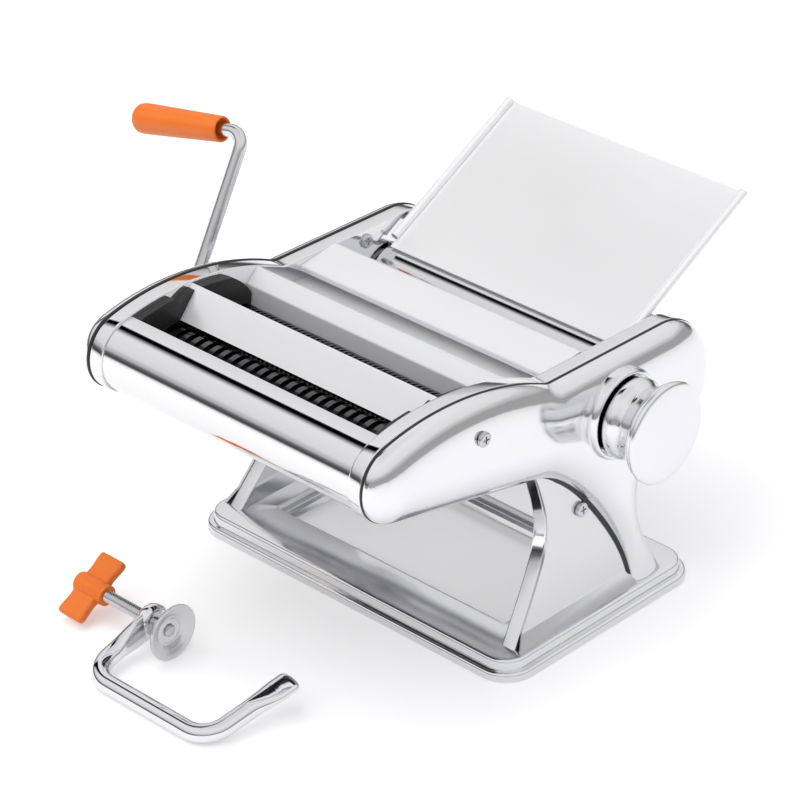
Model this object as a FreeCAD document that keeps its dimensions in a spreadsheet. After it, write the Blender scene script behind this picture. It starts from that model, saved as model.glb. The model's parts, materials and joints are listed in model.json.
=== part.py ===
import FreeCAD, Part

import math
import os
import re

import Sketcher

# Hand-cranked pasta machine: a pair of smooth rollers at the back rolls the dough, two cutter pairs in
# front slice it, and a loose table clamp lies beside it. +Z is up, +X is the side with the thickness knob,
# -Y is the rounded nose. The origin is the centre of the base, on the surface that it stands on. Millimetres.

V = FreeCAD.Vector
AXIS_X = V(1, 0, 0)
AXIS_Y = V(0, 1, 0)
AXIS_Z = V(0, 0, 1)
BIG = 400.0  # larger than the machine, for cutting tools
TINY = 1e-4
SNAP = 1e-3
FOOT_SPARE = 14.0  # how far a leg is drawn past its foot, before it is splayed and trimmed

SIZES = [
    # base
    ("base_margin", 25.5, "inner face of a side frame to the base's end"),
    ("base_depth", 136.0, "base, front to back"),
    ("base_corner", 16.0, "corner radius of the base in plan"),
    ("base_height", 10.0, "height of the base's top plate"),
    ("rim_height", 4.6, "height of the base's lower step"),
    ("rim_step", 3.2, "how far the upper step sits inside the lower one"),
    ("base_wall", 1.2, "sheet of the base"),
    ("base_round", 1.8, "rounding of the base's two steps"),
    ("rail_width", 29.0, "front and back rail, from the base's edge"),
    ("side_rail_width", 28.0, "side rail, from the base's edge"),
    ("ledge_width", 7.0, "ledge inside the rails"),
    ("ledge_height", 4.0, "height of the ledge's top"),
    ("pad_foot_radius", 8.0, "rubber foot"),
    ("pad_foot_inset", 15.5, "rubber foot's centre, from the base's edges"),
    ("foot_screw_inset", 13.0, "foot screws, from the front and the back of a foot"),
    ("slot_width", 16.0, "clamp slot in the back wall of the base"),
    ("slot_low", 2.4, "lower edge of the clamp slot"),
    ("slot_high", 8.2, "upper edge of the clamp slot"),
    # side frames and their outline, seen from the side
    ("inside_width", 154.0, "between the two side frames"),
    ("web", 2.0, "sheet of a side frame"),
    ("frame_depth", 8.0, "width of a side frame's rim"),
    ("rim_wall", 1.6, "thickness of a side frame's rim"),
    ("splay_height", 68.0, "height where the legs start to splay"),
    ("splay_angle", 7.6, "splay of the legs, degrees"),
    ("nose_y", -126.5, "centre of the nose"),
    ("nose_z", 130.0, "centre of the nose"),
    ("nose_radius", 19.0, "nose of the side outline"),
    ("crest_y", -94.0, "highest point over the cutters"),
    ("crest_z", 152.6, "highest point over the cutters"),
    ("notch_y", -27.0, "notch between cutters and rollers"),
    ("notch_z", 136.5, "notch between cutters and rollers"),
    ("notch_slope", 0.46, "fall of the crest into the notch"),
    ("notch_round", 14.0, "rounding of the notch"),
    ("top_z", 135.5, "top over the rollers"),
    ("back_y", 83.0, "furthest point at the back"),
    ("back_radius", 31.0, "corner at the back"),
    ("arch_y", -36.0, "where the nose's underside meets the arch"),
    ("under_z", 91.8, "height of the nose's underside there"),
    ("leg_round", 8.0, "inner corner between nose and leg"),
    ("waist_front_y", -29.5, "front of the leg at its waist"),
    ("waist_back_y", 31.5, "back of the leg at its waist"),
    ("waist_z", 58.0, "height of the waist"),
    ("foot_front_y", -53.0, "front of the foot"),
    ("foot_back_y", 48.0, "back of the foot"),
    ("arch_apex_y", -18.0, "arch under the cover"),
    ("arch_apex_z", 83.0, "arch under the cover"),
    ("arch_mid_y", 9.0, "arch under the cover"),
    ("arch_mid_z", 54.0, "arch under the cover"),
    ("arch_foot_y", 27.5, "arch under the cover, at the foot"),
    # side covers and leg panels
    ("cover_depth", 12.0, "how far a side cover stands out of its frame"),
    ("cover_wall", 1.5, "sheet of a side cover"),
    ("cover_round", 7.0, "outer rounding of a side cover"),
    ("panel_sheet", 1.5, "sheet of a leg panel"),
    ("skirt_height", 9.0, "skirt at a leg panel's foot"),
    ("skirt_reach", 4.5, "how far the skirt stands out"),
    ("screw_radius", 2.0, "M4 screws"),
    ("screw_head", 3.6, "head radius of an M4 screw"),
    ("head_height", 1.8, "head height of an M4 screw"),
    ("cover_screw_y", -81.0, "screw in a side cover"),
    ("cover_screw_z", 136.0, "screw in a side cover"),
    ("leg_screw_y", -3.0, "screw in a leg panel"),
    ("leg_screw_z", 60.0, "screw in a leg panel"),
    ("inner_screw_y", 27.0, "screw head inside each frame"),
    ("inner_screw_z", 129.5, "screw head inside each frame"),
    # cutters
    ("roll_end_gap", 2.0, "side frame to the end of a roller or cutter"),
    ("wide_y", -104.5, "rear wide cutter"),
    ("wide_z", 126.0, "wide cutters"),
    ("wide_radius", 11.0, "wide cutter disc"),
    ("wide_core", 8.2, "wide cutter between its discs"),
    ("wide_pitch", 6.0, "disc to disc on a wide cutter"),
    ("narrow_y", -61.0, "rear narrow cutter"),
    ("narrow_z", 120.0, "narrow cutters"),
    ("narrow_radius", 10.0, "narrow cutter disc"),
    ("narrow_core", 8.6, "narrow cutter between its discs"),
    ("narrow_pitch", 3.0, "disc to disc on a narrow cutter"),
    ("mesh_gap", 0.3, "disc tip to the other cutter's core"),
    ("disc_gap", 0.12, "between the faces of neighbouring discs"),
    ("journal_radius", 4.0, "plain journal"),
    ("drive_radius", 6.5, "journal that holds a crank socket"),
    ("journal_out", 4.0, "journal out of the right frame's web"),
    ("socket_out", 1.0, "driven shaft out of the left cover"),
    ("socket_radius", 3.35, "crank socket"),
    ("socket_depth", 15.0, "crank socket"),
    ("key_width", 2.2, "key of the crank rod"),
    ("key_height", 1.4, "key of the crank rod, above the rod"),
    ("fit_gap", 0.05, "radial clearance of a running fit"),
    ("bush_wall", 1.6, "wall of a shaft bush"),
    ("bush_flange", 1.5, "flange of a shaft bush"),
    ("bush_lip", 0.7, "how far a bush's flange stands out"),
    ("bush_out", 0.5, "bush out of the frame's web"),
    ("bush_length", 12.0, "drill for a bush, half its length"),
    ("gear_width", 6.0, "width of a gear"),
    ("gear_gap", 1.5, "side frame to gear"),
    ("cutter_teeth", 16, "teeth of a cutter's gear"),
    ("cutter_addendum", 1.0, "tooth height above the pitch circle"),
    ("cutter_dedendum", 1.3, "tooth depth below the pitch circle"),
    ("backlash", 0.25, "play between gear teeth"),
    ("pressure_angle", 25.0, "gear teeth, degrees"),
    # smooth rollers and their adjustment
    ("roller_radius", 13.5, "smooth roller"),
    ("roller_y", 41.3, "rear roller"),
    ("roller_z", 109.0, "rollers"),
    ("rest_gap", 1.5, "between the rollers at setting 5"),
    ("gap_travel", 1.2, "travel of the front roller each way"),
    ("roller_journal", 5.0, "journal of the front roller"),
    ("roller_teeth", 12, "teeth of a roller's gear"),
    ("roller_addendum", 2.25, "long teeth, above the pitch circle"),
    ("roller_dedendum", 2.55, "long teeth, below the pitch circle"),
    ("slide_gap", 0.8, "clearance of the front roller's journal in the frame"),
    ("block_sheet", 7.0, "thickness of a bearing block"),
    ("block_gap", 0.3, "side frame to bearing block"),
    ("block_half", 8.0, "half width of a bearing block"),
    ("block_top", 9.0, "bearing block above the roller's axis"),
    ("bar_drop", 21.0, "cross bar below the roller's axis"),
    ("bar_radius", 3.0, "cross bar between the bearing blocks"),
    ("cam_radius", 15.0, "spiral cam"),
    ("cam_sheet", 3.0, "thickness of the spiral cam"),
    ("cam_gap", 0.6, "bearing block to cam"),
    ("follower_offset", 9.0, "cam follower from the knob's axis at rest"),
    ("follower_radius", 1.5, "cam follower pin"),
    ("follower_play", 0.12, "cam follower pin in its slot"),
    ("knob_range", 120.0, "turn of the knob each way, degrees"),
    ("setting_step", 30.0, "knob turn between settings, degrees"),
    # knob
    ("boss_radius", 22.0, "dial ring on the right cover"),
    ("boss_height", 2.0, "dial ring, out of the cover"),
    ("boss_lip", 1.5, "raised edge of the dial ring"),
    ("sleeve_radius", 8.0, "sleeve of the dial ring"),
    ("knob_shaft_radius", 5.0, "round part of the knob shaft"),
    ("knob_square", 7.0, "square part of the knob shaft, across its flats"),
    ("knob_gap", 1.5, "dial ring to knob"),
    ("knob_base_radius", 19.6, "knob, bulge next to the dial ring"),
    ("knob_groove_radius", 17.4, "knob, groove"),
    ("knob_radius", 24.6, "knob, face"),
    ("knob_length", 20.5, "knob without its cap"),
    ("cap_sheet", 3.6, "edge of the knob's cap"),
    ("cap_dome", 1.2, "crown of the knob's cap"),
    ("knob_pull", 4.0, "pull of the knob against its spring"),
    ("spring_bore", 8.0, "spring hole in the knob"),
    ("spring_wire", 1.1, "wire of the knob spring"),
    ("spring_coils", 5, "turns of the knob spring"),
    ("knob_web", 7.0, "knob's wall around the square"),
    ("detent_radius", 12.0, "detent holes' circle"),
    ("detent_pin", 1.5, "detent pin"),
    ("detent_play", 0.25, "detent pin in its hole, and off the ring's face"),
    # sheet covers between the frames
    ("sheet", 1.0, "guide plates"),
    ("nose_sheet", 1.2, "nose cover"),
    ("nose_inset", 1.0, "nose cover inside the frames' outline"),
    ("nose_top", 86.0, "where the nose cover's arc ends at the top, degrees"),
    ("nose_lip", 2.5, "lip behind the nose cover's top edge"),
    ("ramp_y", -99.5, "middle guide plate, lower edge"),
    ("ramp_z", 138.0, "middle guide plate, lower edge"),
    ("ridge_y", -88.0, "middle guide plate, ridge"),
    ("ridge_z", 151.2, "middle guide plate, ridge"),
    ("lip_drop", 17.0, "middle guide plate, lip behind its ridge"),
    ("chute_y", -54.6, "rear guide plate, lower edge"),
    ("chute_z", 128.3, "rear guide plate, lower edge"),
    ("fold_y", -53.3, "rear guide plate, fold"),
    ("fold_z", 137.2, "rear guide plate, fold"),
    ("peak_y", -46.5, "rear guide plate, ridge"),
    ("peak_z", 143.4, "rear guide plate, ridge"),
    ("trough_y", -25.0, "rear guide plate, trough"),
    ("trough_z", 126.8, "rear guide plate, trough"),
    ("trough_end_y", -10.0, "rear guide plate, end of its trough"),
    ("hood_front_y", -18.0, "roller front cover, front edge"),
    ("hood_front_z", 133.4, "roller front cover, front edge"),
    ("hood_top_y", 6.0, "roller front cover, top edge"),
    ("hood_top_z", 136.4, "roller front cover, top edge"),
    ("hood_end_y", 11.0, "roller front cover, lower edge by the roller"),
    ("hood_end_z", 126.0, "roller front cover, lower edge by the roller"),
    ("guide_sheet", 4.0, "black end guides"),
    ("guide_front_y", -112.5, "front arc of an end guide"),
    ("guide_front_z", 140.0, "front arc of an end guide"),
    ("guide_front_radius", 14.0, "front arc of an end guide"),
    ("guide_back_y", -82.0, "rear arc of an end guide"),
    ("guide_back_z", 119.0, "rear arc of an end guide"),
    ("guide_back_radius", 32.0, "rear arc of an end guide"),
    ("guide_margin", 1.5, "end guide inside the frame's outline"),
    ("guide_floor", 115.0, "lower edge of an end guide"),
    ("guide_play", 0.4, "end guide to what turns or stands beside it"),
    ("comb_sheet", 3.0, "bar of a stripper comb"),
    ("comb_height", 4.0, "bar of a stripper comb"),
    ("comb_drop", 1.0, "cutter's discs to the comb's bar"),
    ("finger_lean", 35.0, "comb finger's tip, from straight below the cutter, degrees"),
    ("finger_reach", 1.05, "comb finger's corners, over the smallest distance"),
    ("finger_gap", 0.35, "comb finger to the cutter"),
    ("scraper_gap", 0.6, "scraper to the roller at its nearest"),
    ("scraper_length", 12.0, "scraper blade"),
    ("scraper_sheet", 1.5, "scraper blade"),
    ("tie_radius", 3.0, "tie rods"),
    ("front_tie_y", -133.4, "front tie rod"),
    ("front_tie_z", 140.6, "front tie rod"),
    ("middle_tie_y", -33.0, "middle tie rod"),
    ("middle_tie_z", 106.0, "middle tie rod"),
    ("back_tie_y", 68.0, "back tie rod"),
    ("back_tie_z", 104.0, "back tie rod"),
    # feed tray
    ("tray_length", 100.5, "feed tray, along its slope"),
    ("tray_end_gap", 3.0, "side frame to the side of the feed tray"),
    ("tray_angle", 28.4, "slope of the feed tray, degrees"),
    ("tray_low_y", 39.0, "lower edge of the feed tray"),
    ("tray_low_z", 123.8, "lower edge of the feed tray"),
    ("tray_sheet", 1.0, "sheet of the feed tray"),
    ("bead_radius", 2.4, "rolled side edges of the tray"),
    ("bead_start", 26.0, "where the rolled edges start, from the low end"),
    ("hem_height", 4.0, "hem along the tray's top edge"),
    ("rest_along", 21.0, "tray support bar, from the tray's low edge"),
    ("rest_radius", 2.5, "tray support bar"),
    ("rest_play", 0.05, "feed tray to its support bar"),
    ("hook_play", 0.2, "tray hook to its bar"),
    ("hook_length", 30.0, "tray hooks, along the bar"),
    # crank
    ("crank_radius", 3.25, "crank rod"),
    ("crank_plug", 13.0, "crank rod inside its socket"),
    ("crank_out", 10.0, "crank rod from the cover to the arm's middle line"),
    ("crank_bend", 7.0, "bend radius of the crank rod's middle line"),
    ("arm_y", 39.0, "crank arm, from the socket to the handle's corner, in Y"),
    ("arm_z", 74.0, "crank arm, from the socket to the handle's corner, in Z"),
    ("grip_lean", 11.4, "grip's lean from the turning axis, degrees"),
    ("grip_start", 14.0, "corner of the arm to the grip"),
    ("grip_length", 54.0, "grip"),
    ("grip_radius", 7.4, "grip at its round end"),
    ("grip_neck", 6.1, "grip at its open end"),
    ("grip_round", 5.0, "rounding of the grip's end"),
    ("pin_reach", 44.0, "crank rod inside the grip"),
    ("washer_sheet", 1.0, "washer at the rod's end"),
    # clamp
    ("clamp_radius", 4.5, "clamp rod"),
    ("clamp_y", -192.5, "long side of the clamp rod"),
    ("clamp_left", -41.0, "left corner of the clamp rod"),
    ("clamp_right", 35.0, "right corner of the clamp rod"),
    ("clamp_arm", 40.5, "clamp rod, corner to the eye's centre"),
    ("clamp_hook", 50.0, "clamp rod, corner to the hook's end"),
    ("clamp_splay", 7.6, "splay of the hook arm, degrees"),
    ("clamp_bend", 13.0, "bend radius of the clamp rod's middle line"),
    ("eye_radius", 8.5, "flattened eye of the clamp rod"),
    ("eye_sheet", 6.0, "flattened eye of the clamp rod"),
    ("hook_sheet", 5.2, "thickness of the clamp rod's flattened end"),
    ("hook_width", 13.0, "width of the clamp rod's flattened end"),
    ("hook_flat", 22.0, "length of the clamp rod's flattened end"),
    ("hook_swell", 0.55, "where the flattened end reaches its width, as a share of its length"),
    ("hook_round", 2.0, "rounding of the flattened end"),
    ("thread_radius", 3.0, "clamp screw, M6"),
    ("thread_root", 2.55, "clamp screw, root of its thread"),
    ("thread_pitch", 1.0, "clamp screw"),
    ("thread_play", 0.08, "clamp screw in the eye"),
    ("screw_reach", 10.0, "eye's centre to the pad"),
    ("screw_back", 30.0, "eye's centre to the wing nut"),
    ("pad_radius", 14.0, "clamp pad"),
    ("pad_sheet", 1.4, "clamp pad"),
    ("pad_dish", 3.0, "depth of the clamp pad"),
    ("wing_hub", 7.0, "hub of the wing nut"),
    ("wing_hub_length", 19.0, "hub of the wing nut"),
    ("wing_span", 17.5, "wing nut, axis to the wing's end"),
    ("wing_width", 15.0, "wing, along the screw"),
    ("wing_sheet", 5.0, "wing thickness"),
    ("wing_tilt", 32.0, "wings from the horizontal, degrees"),
    ("wing_start", 1.0, "hub's outer end to the wings"),
    ("pad_play", 0.1, "clamp pad on its rivet, along the screw"),
    ("rivet_head", 1.4, "head of the clamp pad's rivet"),
]

DERIVED = [
    ("base_length", "inside_width + 2 * base_margin", "base, along the rollers"),
    ("roll_length", "inside_width - 2 * roll_end_gap", "rollers and cutters, between their ends"),
    ("tray_width", "inside_width - 2 * tray_end_gap", "feed tray"),
]

doc = FreeCAD.newDocument("PastaMachine")
sheet = doc.addObject("Spreadsheet::Sheet", "Sizes")
for row, (alias, number, meaning) in enumerate(SIZES, start=1):
    sheet.set(f"A{row}", meaning)
    sheet.set(f"B{row}", str(number))
    sheet.setAlias(f"B{row}", alias)
for row, (alias, formula, meaning) in enumerate(DERIVED, start=len(SIZES) + 1):
    sheet.set(f"A{row}", meaning)
    sheet.set(f"B{row}", f"={formula}")
    sheet.setAlias(f"B{row}", alias)
doc.recompute()

ALIASES = {alias for alias, _, _ in SIZES + DERIVED}


class Values:
    """The sheet's numbers, read by their aliases."""

    def __getattr__(self, alias):
        return float(sheet.get(alias))

    def named(self, alias):
        """The number with an alias that is put together as text."""
        return float(sheet.get(alias))


S = Values()
NODES = []


def keep(thing, node):
    """Name a finished sub-part and put it on the list that is written out."""
    thing.Label = node
    NODES.append(thing)
    return thing


def cells(expression):
    """An expression with each alias spelt as the sheet's cell."""

    def spell(word):
        return "Sizes." + word.group(0) if word.group(0) in ALIASES else word.group(0)

    return re.sub(r"[a-z][a-z_]*", spell, str(expression))


def bind(thing, **places):
    """Tie properties to expressions: Radius="a + b", x="c" for Placement.Base.x."""
    for name, expression in places.items():
        path = "Placement.Base." + name if name in ("x", "y", "z") else name
        thing.setExpression(path, cells(expression))


# Part primitives ---------------------------------------------------------------------------------------------


def rod_x(name, radius, length, x, y, z):
    """A cylinder along +X that starts at x."""
    rod = doc.addObject("Part::Cylinder", name)
    rod.Placement = FreeCAD.Placement(V(0, 0, 0), FreeCAD.Rotation(AXIS_Y, 90))
    bind(rod, Radius=radius, Height=length, x=x, y=y, z=z)
    return rod


def rod_z(name, radius, length, x, y, z):
    """An upright cylinder that starts at z."""
    rod = doc.addObject("Part::Cylinder", name)
    bind(rod, Radius=radius, Height=length, x=x, y=y, z=z)
    return rod


def fuse(name, things):
    """One object of several that overlap or touch."""
    joined = doc.addObject("Part::MultiFuse", name)
    joined.Shapes = things
    joined.Refine = True
    return joined


def cut(name, base, tools):
    """base without tools."""
    tool = tools[0] if len(tools) == 1 else fuse(name + "_tools", tools)
    rest = doc.addObject("Part::Cut", name)
    rest.Base = base
    rest.Tool = tool
    return rest


def group(name, things):
    """Separate solids in one object."""
    compound = doc.addObject("Part::Compound", name)
    compound.Links = things
    return compound


def feature(name, shape, placement=None):
    """An object with a shape of its own."""
    made = doc.addObject("Part::Feature", name)
    made.Shape = shape
    if placement is not None:
        made.Placement = placement
    return made


# PartDesign bodies -------------------------------------------------------------------------------------------


def plane_of(body, role):
    """One of a body's own origin planes."""
    return next(item for item in body.Origin.OriginFeatures if item.Role == role)


def sketch_on(body, role, name):
    """An empty sketch on one of the body's origin planes."""
    sketch = body.newObject("Sketcher::SketchObject", name)
    sketch.AttachmentSupport = [(plane_of(body, role), "")]
    sketch.MapMode = "FlatFace"
    return sketch


def draw_polygon(sketch, corners):
    """A closed polygon whose corners are pairs of expressions."""
    first = sketch.GeometryCount
    count = len(corners)
    spots = [
        V(10 * math.cos(2 * math.pi * i / count), 10 * math.sin(2 * math.pi * i / count), 0)
        for i in range(count)
    ]
    for i in range(count):
        sketch.addGeometry(Part.LineSegment(spots[i], spots[(i + 1) % count]), False)
    for i in range(count):
        nxt = first + (i + 1) % count
        sketch.addConstraint(Sketcher.Constraint("Coincident", first + i, 2, nxt, 1))
    for i, (across, up) in enumerate(corners):
        both_ways = (("DistanceX", across, spots[i].x), ("DistanceY", up, spots[i].y))
        for kind, expression, start in both_ways:
            number = sketch.addConstraint(Sketcher.Constraint(kind, -1, 1, first + i, 1, start))
            sketch.setExpression(f"Constraints[{number}]", cells(expression))


def draw_circle(sketch, across, up, radius):
    """A circle tied to expressions."""
    place = sketch.addGeometry(Part.Circle(V(1, 1, 0), AXIS_Z, 5.0), False)
    for kind, expression in (("DistanceX", across), ("DistanceY", up)):
        number = sketch.addConstraint(Sketcher.Constraint(kind, -1, 1, place, 3, 1.0))
        sketch.setExpression(f"Constraints[{number}]", cells(expression))
    number = sketch.addConstraint(Sketcher.Constraint("Radius", place, 5.0))
    sketch.setExpression(f"Constraints[{number}]", cells(radius))


def draw_rounded(sketch, half_x, half_y, radius):
    """A rectangle about the origin with round corners, tied to expressions."""
    x0, y0, r0 = 50.0, 40.0, 5.0
    first = sketch.GeometryCount
    corners = [(1, 1, 0), (-1, 1, 90), (-1, -1, 180), (1, -1, 270)]
    for sx, sy, start in corners:
        centre = V(sx * (x0 - r0), sy * (y0 - r0), 0)
        arc = Part.ArcOfCircle(
            Part.Circle(centre, AXIS_Z, r0), math.radians(start), math.radians(start + 90)
        )
        sketch.addGeometry(arc, False)
    ends = [
        (V(x0 - r0, y0, 0), V(-(x0 - r0), y0, 0)),
        (V(-x0, y0 - r0, 0), V(-x0, -(y0 - r0), 0)),
        (V(-(x0 - r0), -y0, 0), V(x0 - r0, -y0, 0)),
        (V(x0, -(y0 - r0), 0), V(x0, y0 - r0, 0)),
    ]
    for start, end in ends:
        sketch.addGeometry(Part.LineSegment(start, end), False)
    for i in range(4):
        line = first + 4 + i
        sketch.addConstraint(Sketcher.Constraint("Tangent", first + i, 2, line, 1))
        sketch.addConstraint(Sketcher.Constraint("Tangent", line, 2, first + (i + 1) % 4, 1))
        sketch.addConstraint(Sketcher.Constraint("Vertical" if i % 2 else "Horizontal", line))
    for i in range(3):
        sketch.addConstraint(Sketcher.Constraint("Equal", first, first + i + 1))
    number = sketch.addConstraint(Sketcher.Constraint("Radius", first, r0))
    sketch.setExpression(f"Constraints[{number}]", cells(radius))
    for kind, geometry, start, expression in (
        ("DistanceY", first + 4, y0, half_y),
        ("DistanceX", first + 5, -x0, f"-({half_x})"),
        ("DistanceY", first + 6, -y0, f"-({half_y})"),
        ("DistanceX", first + 7, x0, half_x),
    ):
        number = sketch.addConstraint(Sketcher.Constraint(kind, -1, 1, geometry, 1, start))
        sketch.setExpression(f"Constraints[{number}]", cells(expression))


def new_body(name):
    """An empty PartDesign body."""
    return doc.addObject("PartDesign::Body", name + "_body")


def pad(body, sketch, length, midplane=False):
    """Extrude a sketch."""
    made = body.newObject("PartDesign::Pad", sketch.Name + "_pad")
    made.Profile = sketch
    made.Midplane = midplane
    bind(made, Length=length)
    sketch.Visibility = False
    return made


def pocket(body, sketch, length, upwards):
    """Cut a sketch out of the body; upwards cuts along the sketch's normal."""
    made = body.newObject("PartDesign::Pocket", sketch.Name + "_pocket")
    made.Profile = sketch
    made.Reversed = upwards
    bind(made, Length=length)
    return made


def turned(node, corners, x, y, z):
    """A body turned about its own X axis; corners are (along, radius) expressions."""
    body = new_body(node)
    sketch = sketch_on(body, "XY_Plane", node + "_profile")
    draw_polygon(sketch, corners)
    made = body.newObject("PartDesign::Revolution", node + "_turn")
    made.Profile = sketch
    made.ReferenceAxis = (sketch, ["H_Axis"])
    made.Angle = 360
    bind(body, x=x, y=y, z=z)
    return body


# Side outline ------------------------------------------------------------------------------------------------


def yz(y, z, x=0.0):
    """A point in a plane across X."""
    return V(x, y, z)


def curve(points, start, end):
    """A smooth edge through points with given end directions, given as (y, z)."""
    spline = Part.BSplineCurve()
    spline.interpolate(
        Points=[yz(*p) for p in points], InitialTangent=yz(*start), FinalTangent=yz(*end)
    )
    return spline.toShape()


def under_start():
    """Where the nose's underside leaves the nose circle, as an angle, and the line's slope."""
    reach = math.hypot(S.arch_y - S.nose_y, S.under_z - S.nose_z)
    towards = math.atan2(S.under_z - S.nose_z, S.arch_y - S.nose_y)
    angle = towards - math.acos(S.nose_radius / reach)
    return angle, math.tan(angle + math.pi / 2)


def outer_edges():
    """The edges that frame and cover share, from the nose's underside over the top to the back of the foot."""
    low, _ = under_start()
    high = math.radians(105)
    r = S.nose_radius
    centre = (S.nose_y, S.nose_z)

    def on_nose(angle):
        return yz(centre[0] + r * math.cos(angle), centre[1] + r * math.sin(angle))

    middle = (low % (2 * math.pi) + high) / 2
    edges = [Part.Arc(on_nose(low), on_nose(middle), on_nose(high)).toShape()]
    top = on_nose(high)
    back = (S.back_y - S.back_radius, S.top_z - S.back_radius)
    notch = yz(S.notch_y, S.notch_z)
    fall = yz(1, -S.notch_slope).normalize()
    level = (yz(back[0], S.top_z) - notch).normalize()
    half_turn = fall.getAngle(level) / 2
    reach = S.notch_round * math.tan(half_turn)
    before = notch - fall * reach
    after = notch + level * reach
    bisector = (level - fall).normalize()
    lowest = notch + bisector * S.notch_round * (1 / math.cos(half_turn) - 1)
    edges.append(
        curve(
            [(top.y, top.z), (S.crest_y, S.crest_z), (before.y, before.z)],
            (math.sin(high), -math.cos(high)),
            (fall.y, fall.z),
        )
    )
    edges.append(Part.Arc(before, lowest, after).toShape())

    def on_back(degrees):
        a = math.radians(degrees)
        return yz(back[0] + S.back_radius * math.cos(a), back[1] + S.back_radius * math.sin(a))

    edges.append(Part.LineSegment(after, on_back(90)).toShape())
    edges.append(Part.Arc(on_back(90), on_back(30), on_back(-28)).toShape())
    end = on_back(-28)
    edges.append(
        curve([(end.y, end.z), (S.waist_back_y, S.waist_z)], (-0.47, -0.88), (0.0, -1.0))
    )
    edges.append(
        curve(
            [(S.waist_back_y, S.waist_z), (S.foot_back_y, S.base_height)], (0.0, -1.0), (0.5, -0.87)
        )
    )
    return edges


def frame_wire(below):
    """The side frame's outline; its leg runs on straight for a distance below the foot."""
    _, slope = under_start()
    edges = outer_edges()
    foot = S.base_height
    low = foot - below
    edges.append(Part.LineSegment(yz(S.foot_back_y, foot), yz(S.foot_back_y, low)).toShape())
    edges.append(Part.LineSegment(yz(S.foot_back_y, low), yz(S.foot_front_y, low)).toShape())
    edges.append(Part.LineSegment(yz(S.foot_front_y, low), yz(S.foot_front_y, foot)).toShape())
    edges.append(
        curve(
            [(S.foot_front_y, foot), (S.waist_front_y, S.waist_z)], (0.42, 0.9), (0.0, 1.0)
        )
    )
    corner_y = S.waist_front_y - S.leg_round
    line_z = S.under_z + slope * (corner_y - S.arch_y)
    slant = math.hypot(1, slope)
    corner_z = line_z - S.leg_round * slant
    edges.append(
        Part.LineSegment(yz(S.waist_front_y, S.waist_z), yz(S.waist_front_y, corner_z)).toShape()
    )
    up = (-slope / slant, 1 / slant)
    touch = (corner_y + S.leg_round * up[0], corner_z + S.leg_round * up[1])
    half = math.atan2(up[1], up[0]) / 2
    edges.append(
        Part.Arc(
            yz(S.waist_front_y, corner_z),
            yz(corner_y + S.leg_round * math.cos(half), corner_z + S.leg_round * math.sin(half)),
            yz(*touch),
        ).toShape()
    )
    edges.append(Part.LineSegment(yz(*touch), edges[0].Vertexes[0].Point).toShape())
    return Part.Wire(Part.__sortEdges__(edges))


def arch_edge():
    """The arch under the side cover, from the nose's underside down to the foot."""
    _, slope = under_start()
    return curve(
        [
            (S.arch_y, S.under_z),
            (S.arch_apex_y, S.arch_apex_z),
            (S.arch_mid_y, S.arch_mid_z),
            (S.arch_foot_y, S.base_height),
        ],
        (1.0, slope),
        (0.06, -1.0),
    )


def cover_wire():
    """The side cover's outline: nose, top, back, back of the leg, and the arch."""
    edges = outer_edges()
    foot = S.base_height
    edges.append(
        Part.LineSegment(yz(S.foot_back_y, foot), yz(S.arch_foot_y, foot)).toShape()
    )
    edges.append(arch_edge())
    edges.append(
        Part.LineSegment(yz(S.arch_y, S.under_z), edges[0].Vertexes[0].Point).toShape()
    )
    return Part.Wire(Part.__sortEdges__(edges))


def slab(wire, start, depth):
    """A wire in the YZ plane, thickened from x = start by depth."""
    return Part.Face(wire.copy().translated(V(start, 0, 0))).extrude(V(depth, 0, 0))


def shrink(wire, amount):
    """A smaller copy of a closed wire, with its offset curves redrawn as smooth splines."""
    edges = []
    steps = 24
    for edge in wire.makeOffset2D(-amount).OrderedEdges:
        if "OffsetCurve" in edge.Curve.TypeId:
            first, last = edge.FirstParameter, edge.LastParameter
            points = [edge.valueAt(first + (last - first) * i / steps) for i in range(steps + 1)]
            spline = Part.BSplineCurve()
            spline.interpolate(
                Points=points,
                InitialTangent=edge.tangentAt(first),
                FinalTangent=edge.tangentAt(last),
            )
            edge = spline.toShape()
        edges.append(edge)
    return Part.Wire(Part.__sortEdges__(edges))


def mirrored(shape):
    """The other side's copy."""
    return shape.mirror(V(0, 0, 0), AXIS_X)


def space(x, y, z):
    """A box between three (low, high) pairs."""
    size = [high - low for low, high in (x, y, z)]
    return Part.makeBox(*size, V(x[0], y[0], z[0]))


def splayed(shape):
    """A leg's part, leaning outwards about the inner edge of its frame."""
    turned_part = shape.copy()
    turned_part.rotate(V(S.inside_width / 2, 0, S.splay_height), AXIS_Y, -S.splay_angle)
    return turned_part


def leg_shift(height):
    """How far the splay moves the leg outwards at a height."""
    return (S.splay_height - height) * math.tan(math.radians(S.splay_angle))


def pipe(points, radius, bend):
    """A round bar along straight runs joined by arcs of one bend radius."""
    edges = []
    start = points[0]
    for before, corner, after in zip(points, points[1:], points[2:]):
        back = (before - corner).normalize()
        on = (after - corner).normalize()
        half = back.getAngle(on) / 2
        away = bend / math.tan(half)
        first = corner + back * away
        last = corner + on * away
        bisector = (back + on).normalize()
        middle = corner + bisector * (bend / math.sin(half) - bend)
        edges.append(Part.LineSegment(start, first).toShape())
        edges.append(Part.Arc(first, middle, last).toShape())
        start = last
    edges.append(Part.LineSegment(start, points[-1]).toShape())
    path = Part.Wire(edges)
    ring = Part.Wire(Part.Circle(points[0], points[1] - points[0], radius).toShape())
    return path.makePipeShell([ring], True, True)


def cylinder(start, direction, radius, length):
    """A cylinder from a point along a direction."""
    return Part.makeCylinder(radius, length, start, direction)


# Base --------------------------------------------------------------------------------------------------------


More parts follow.
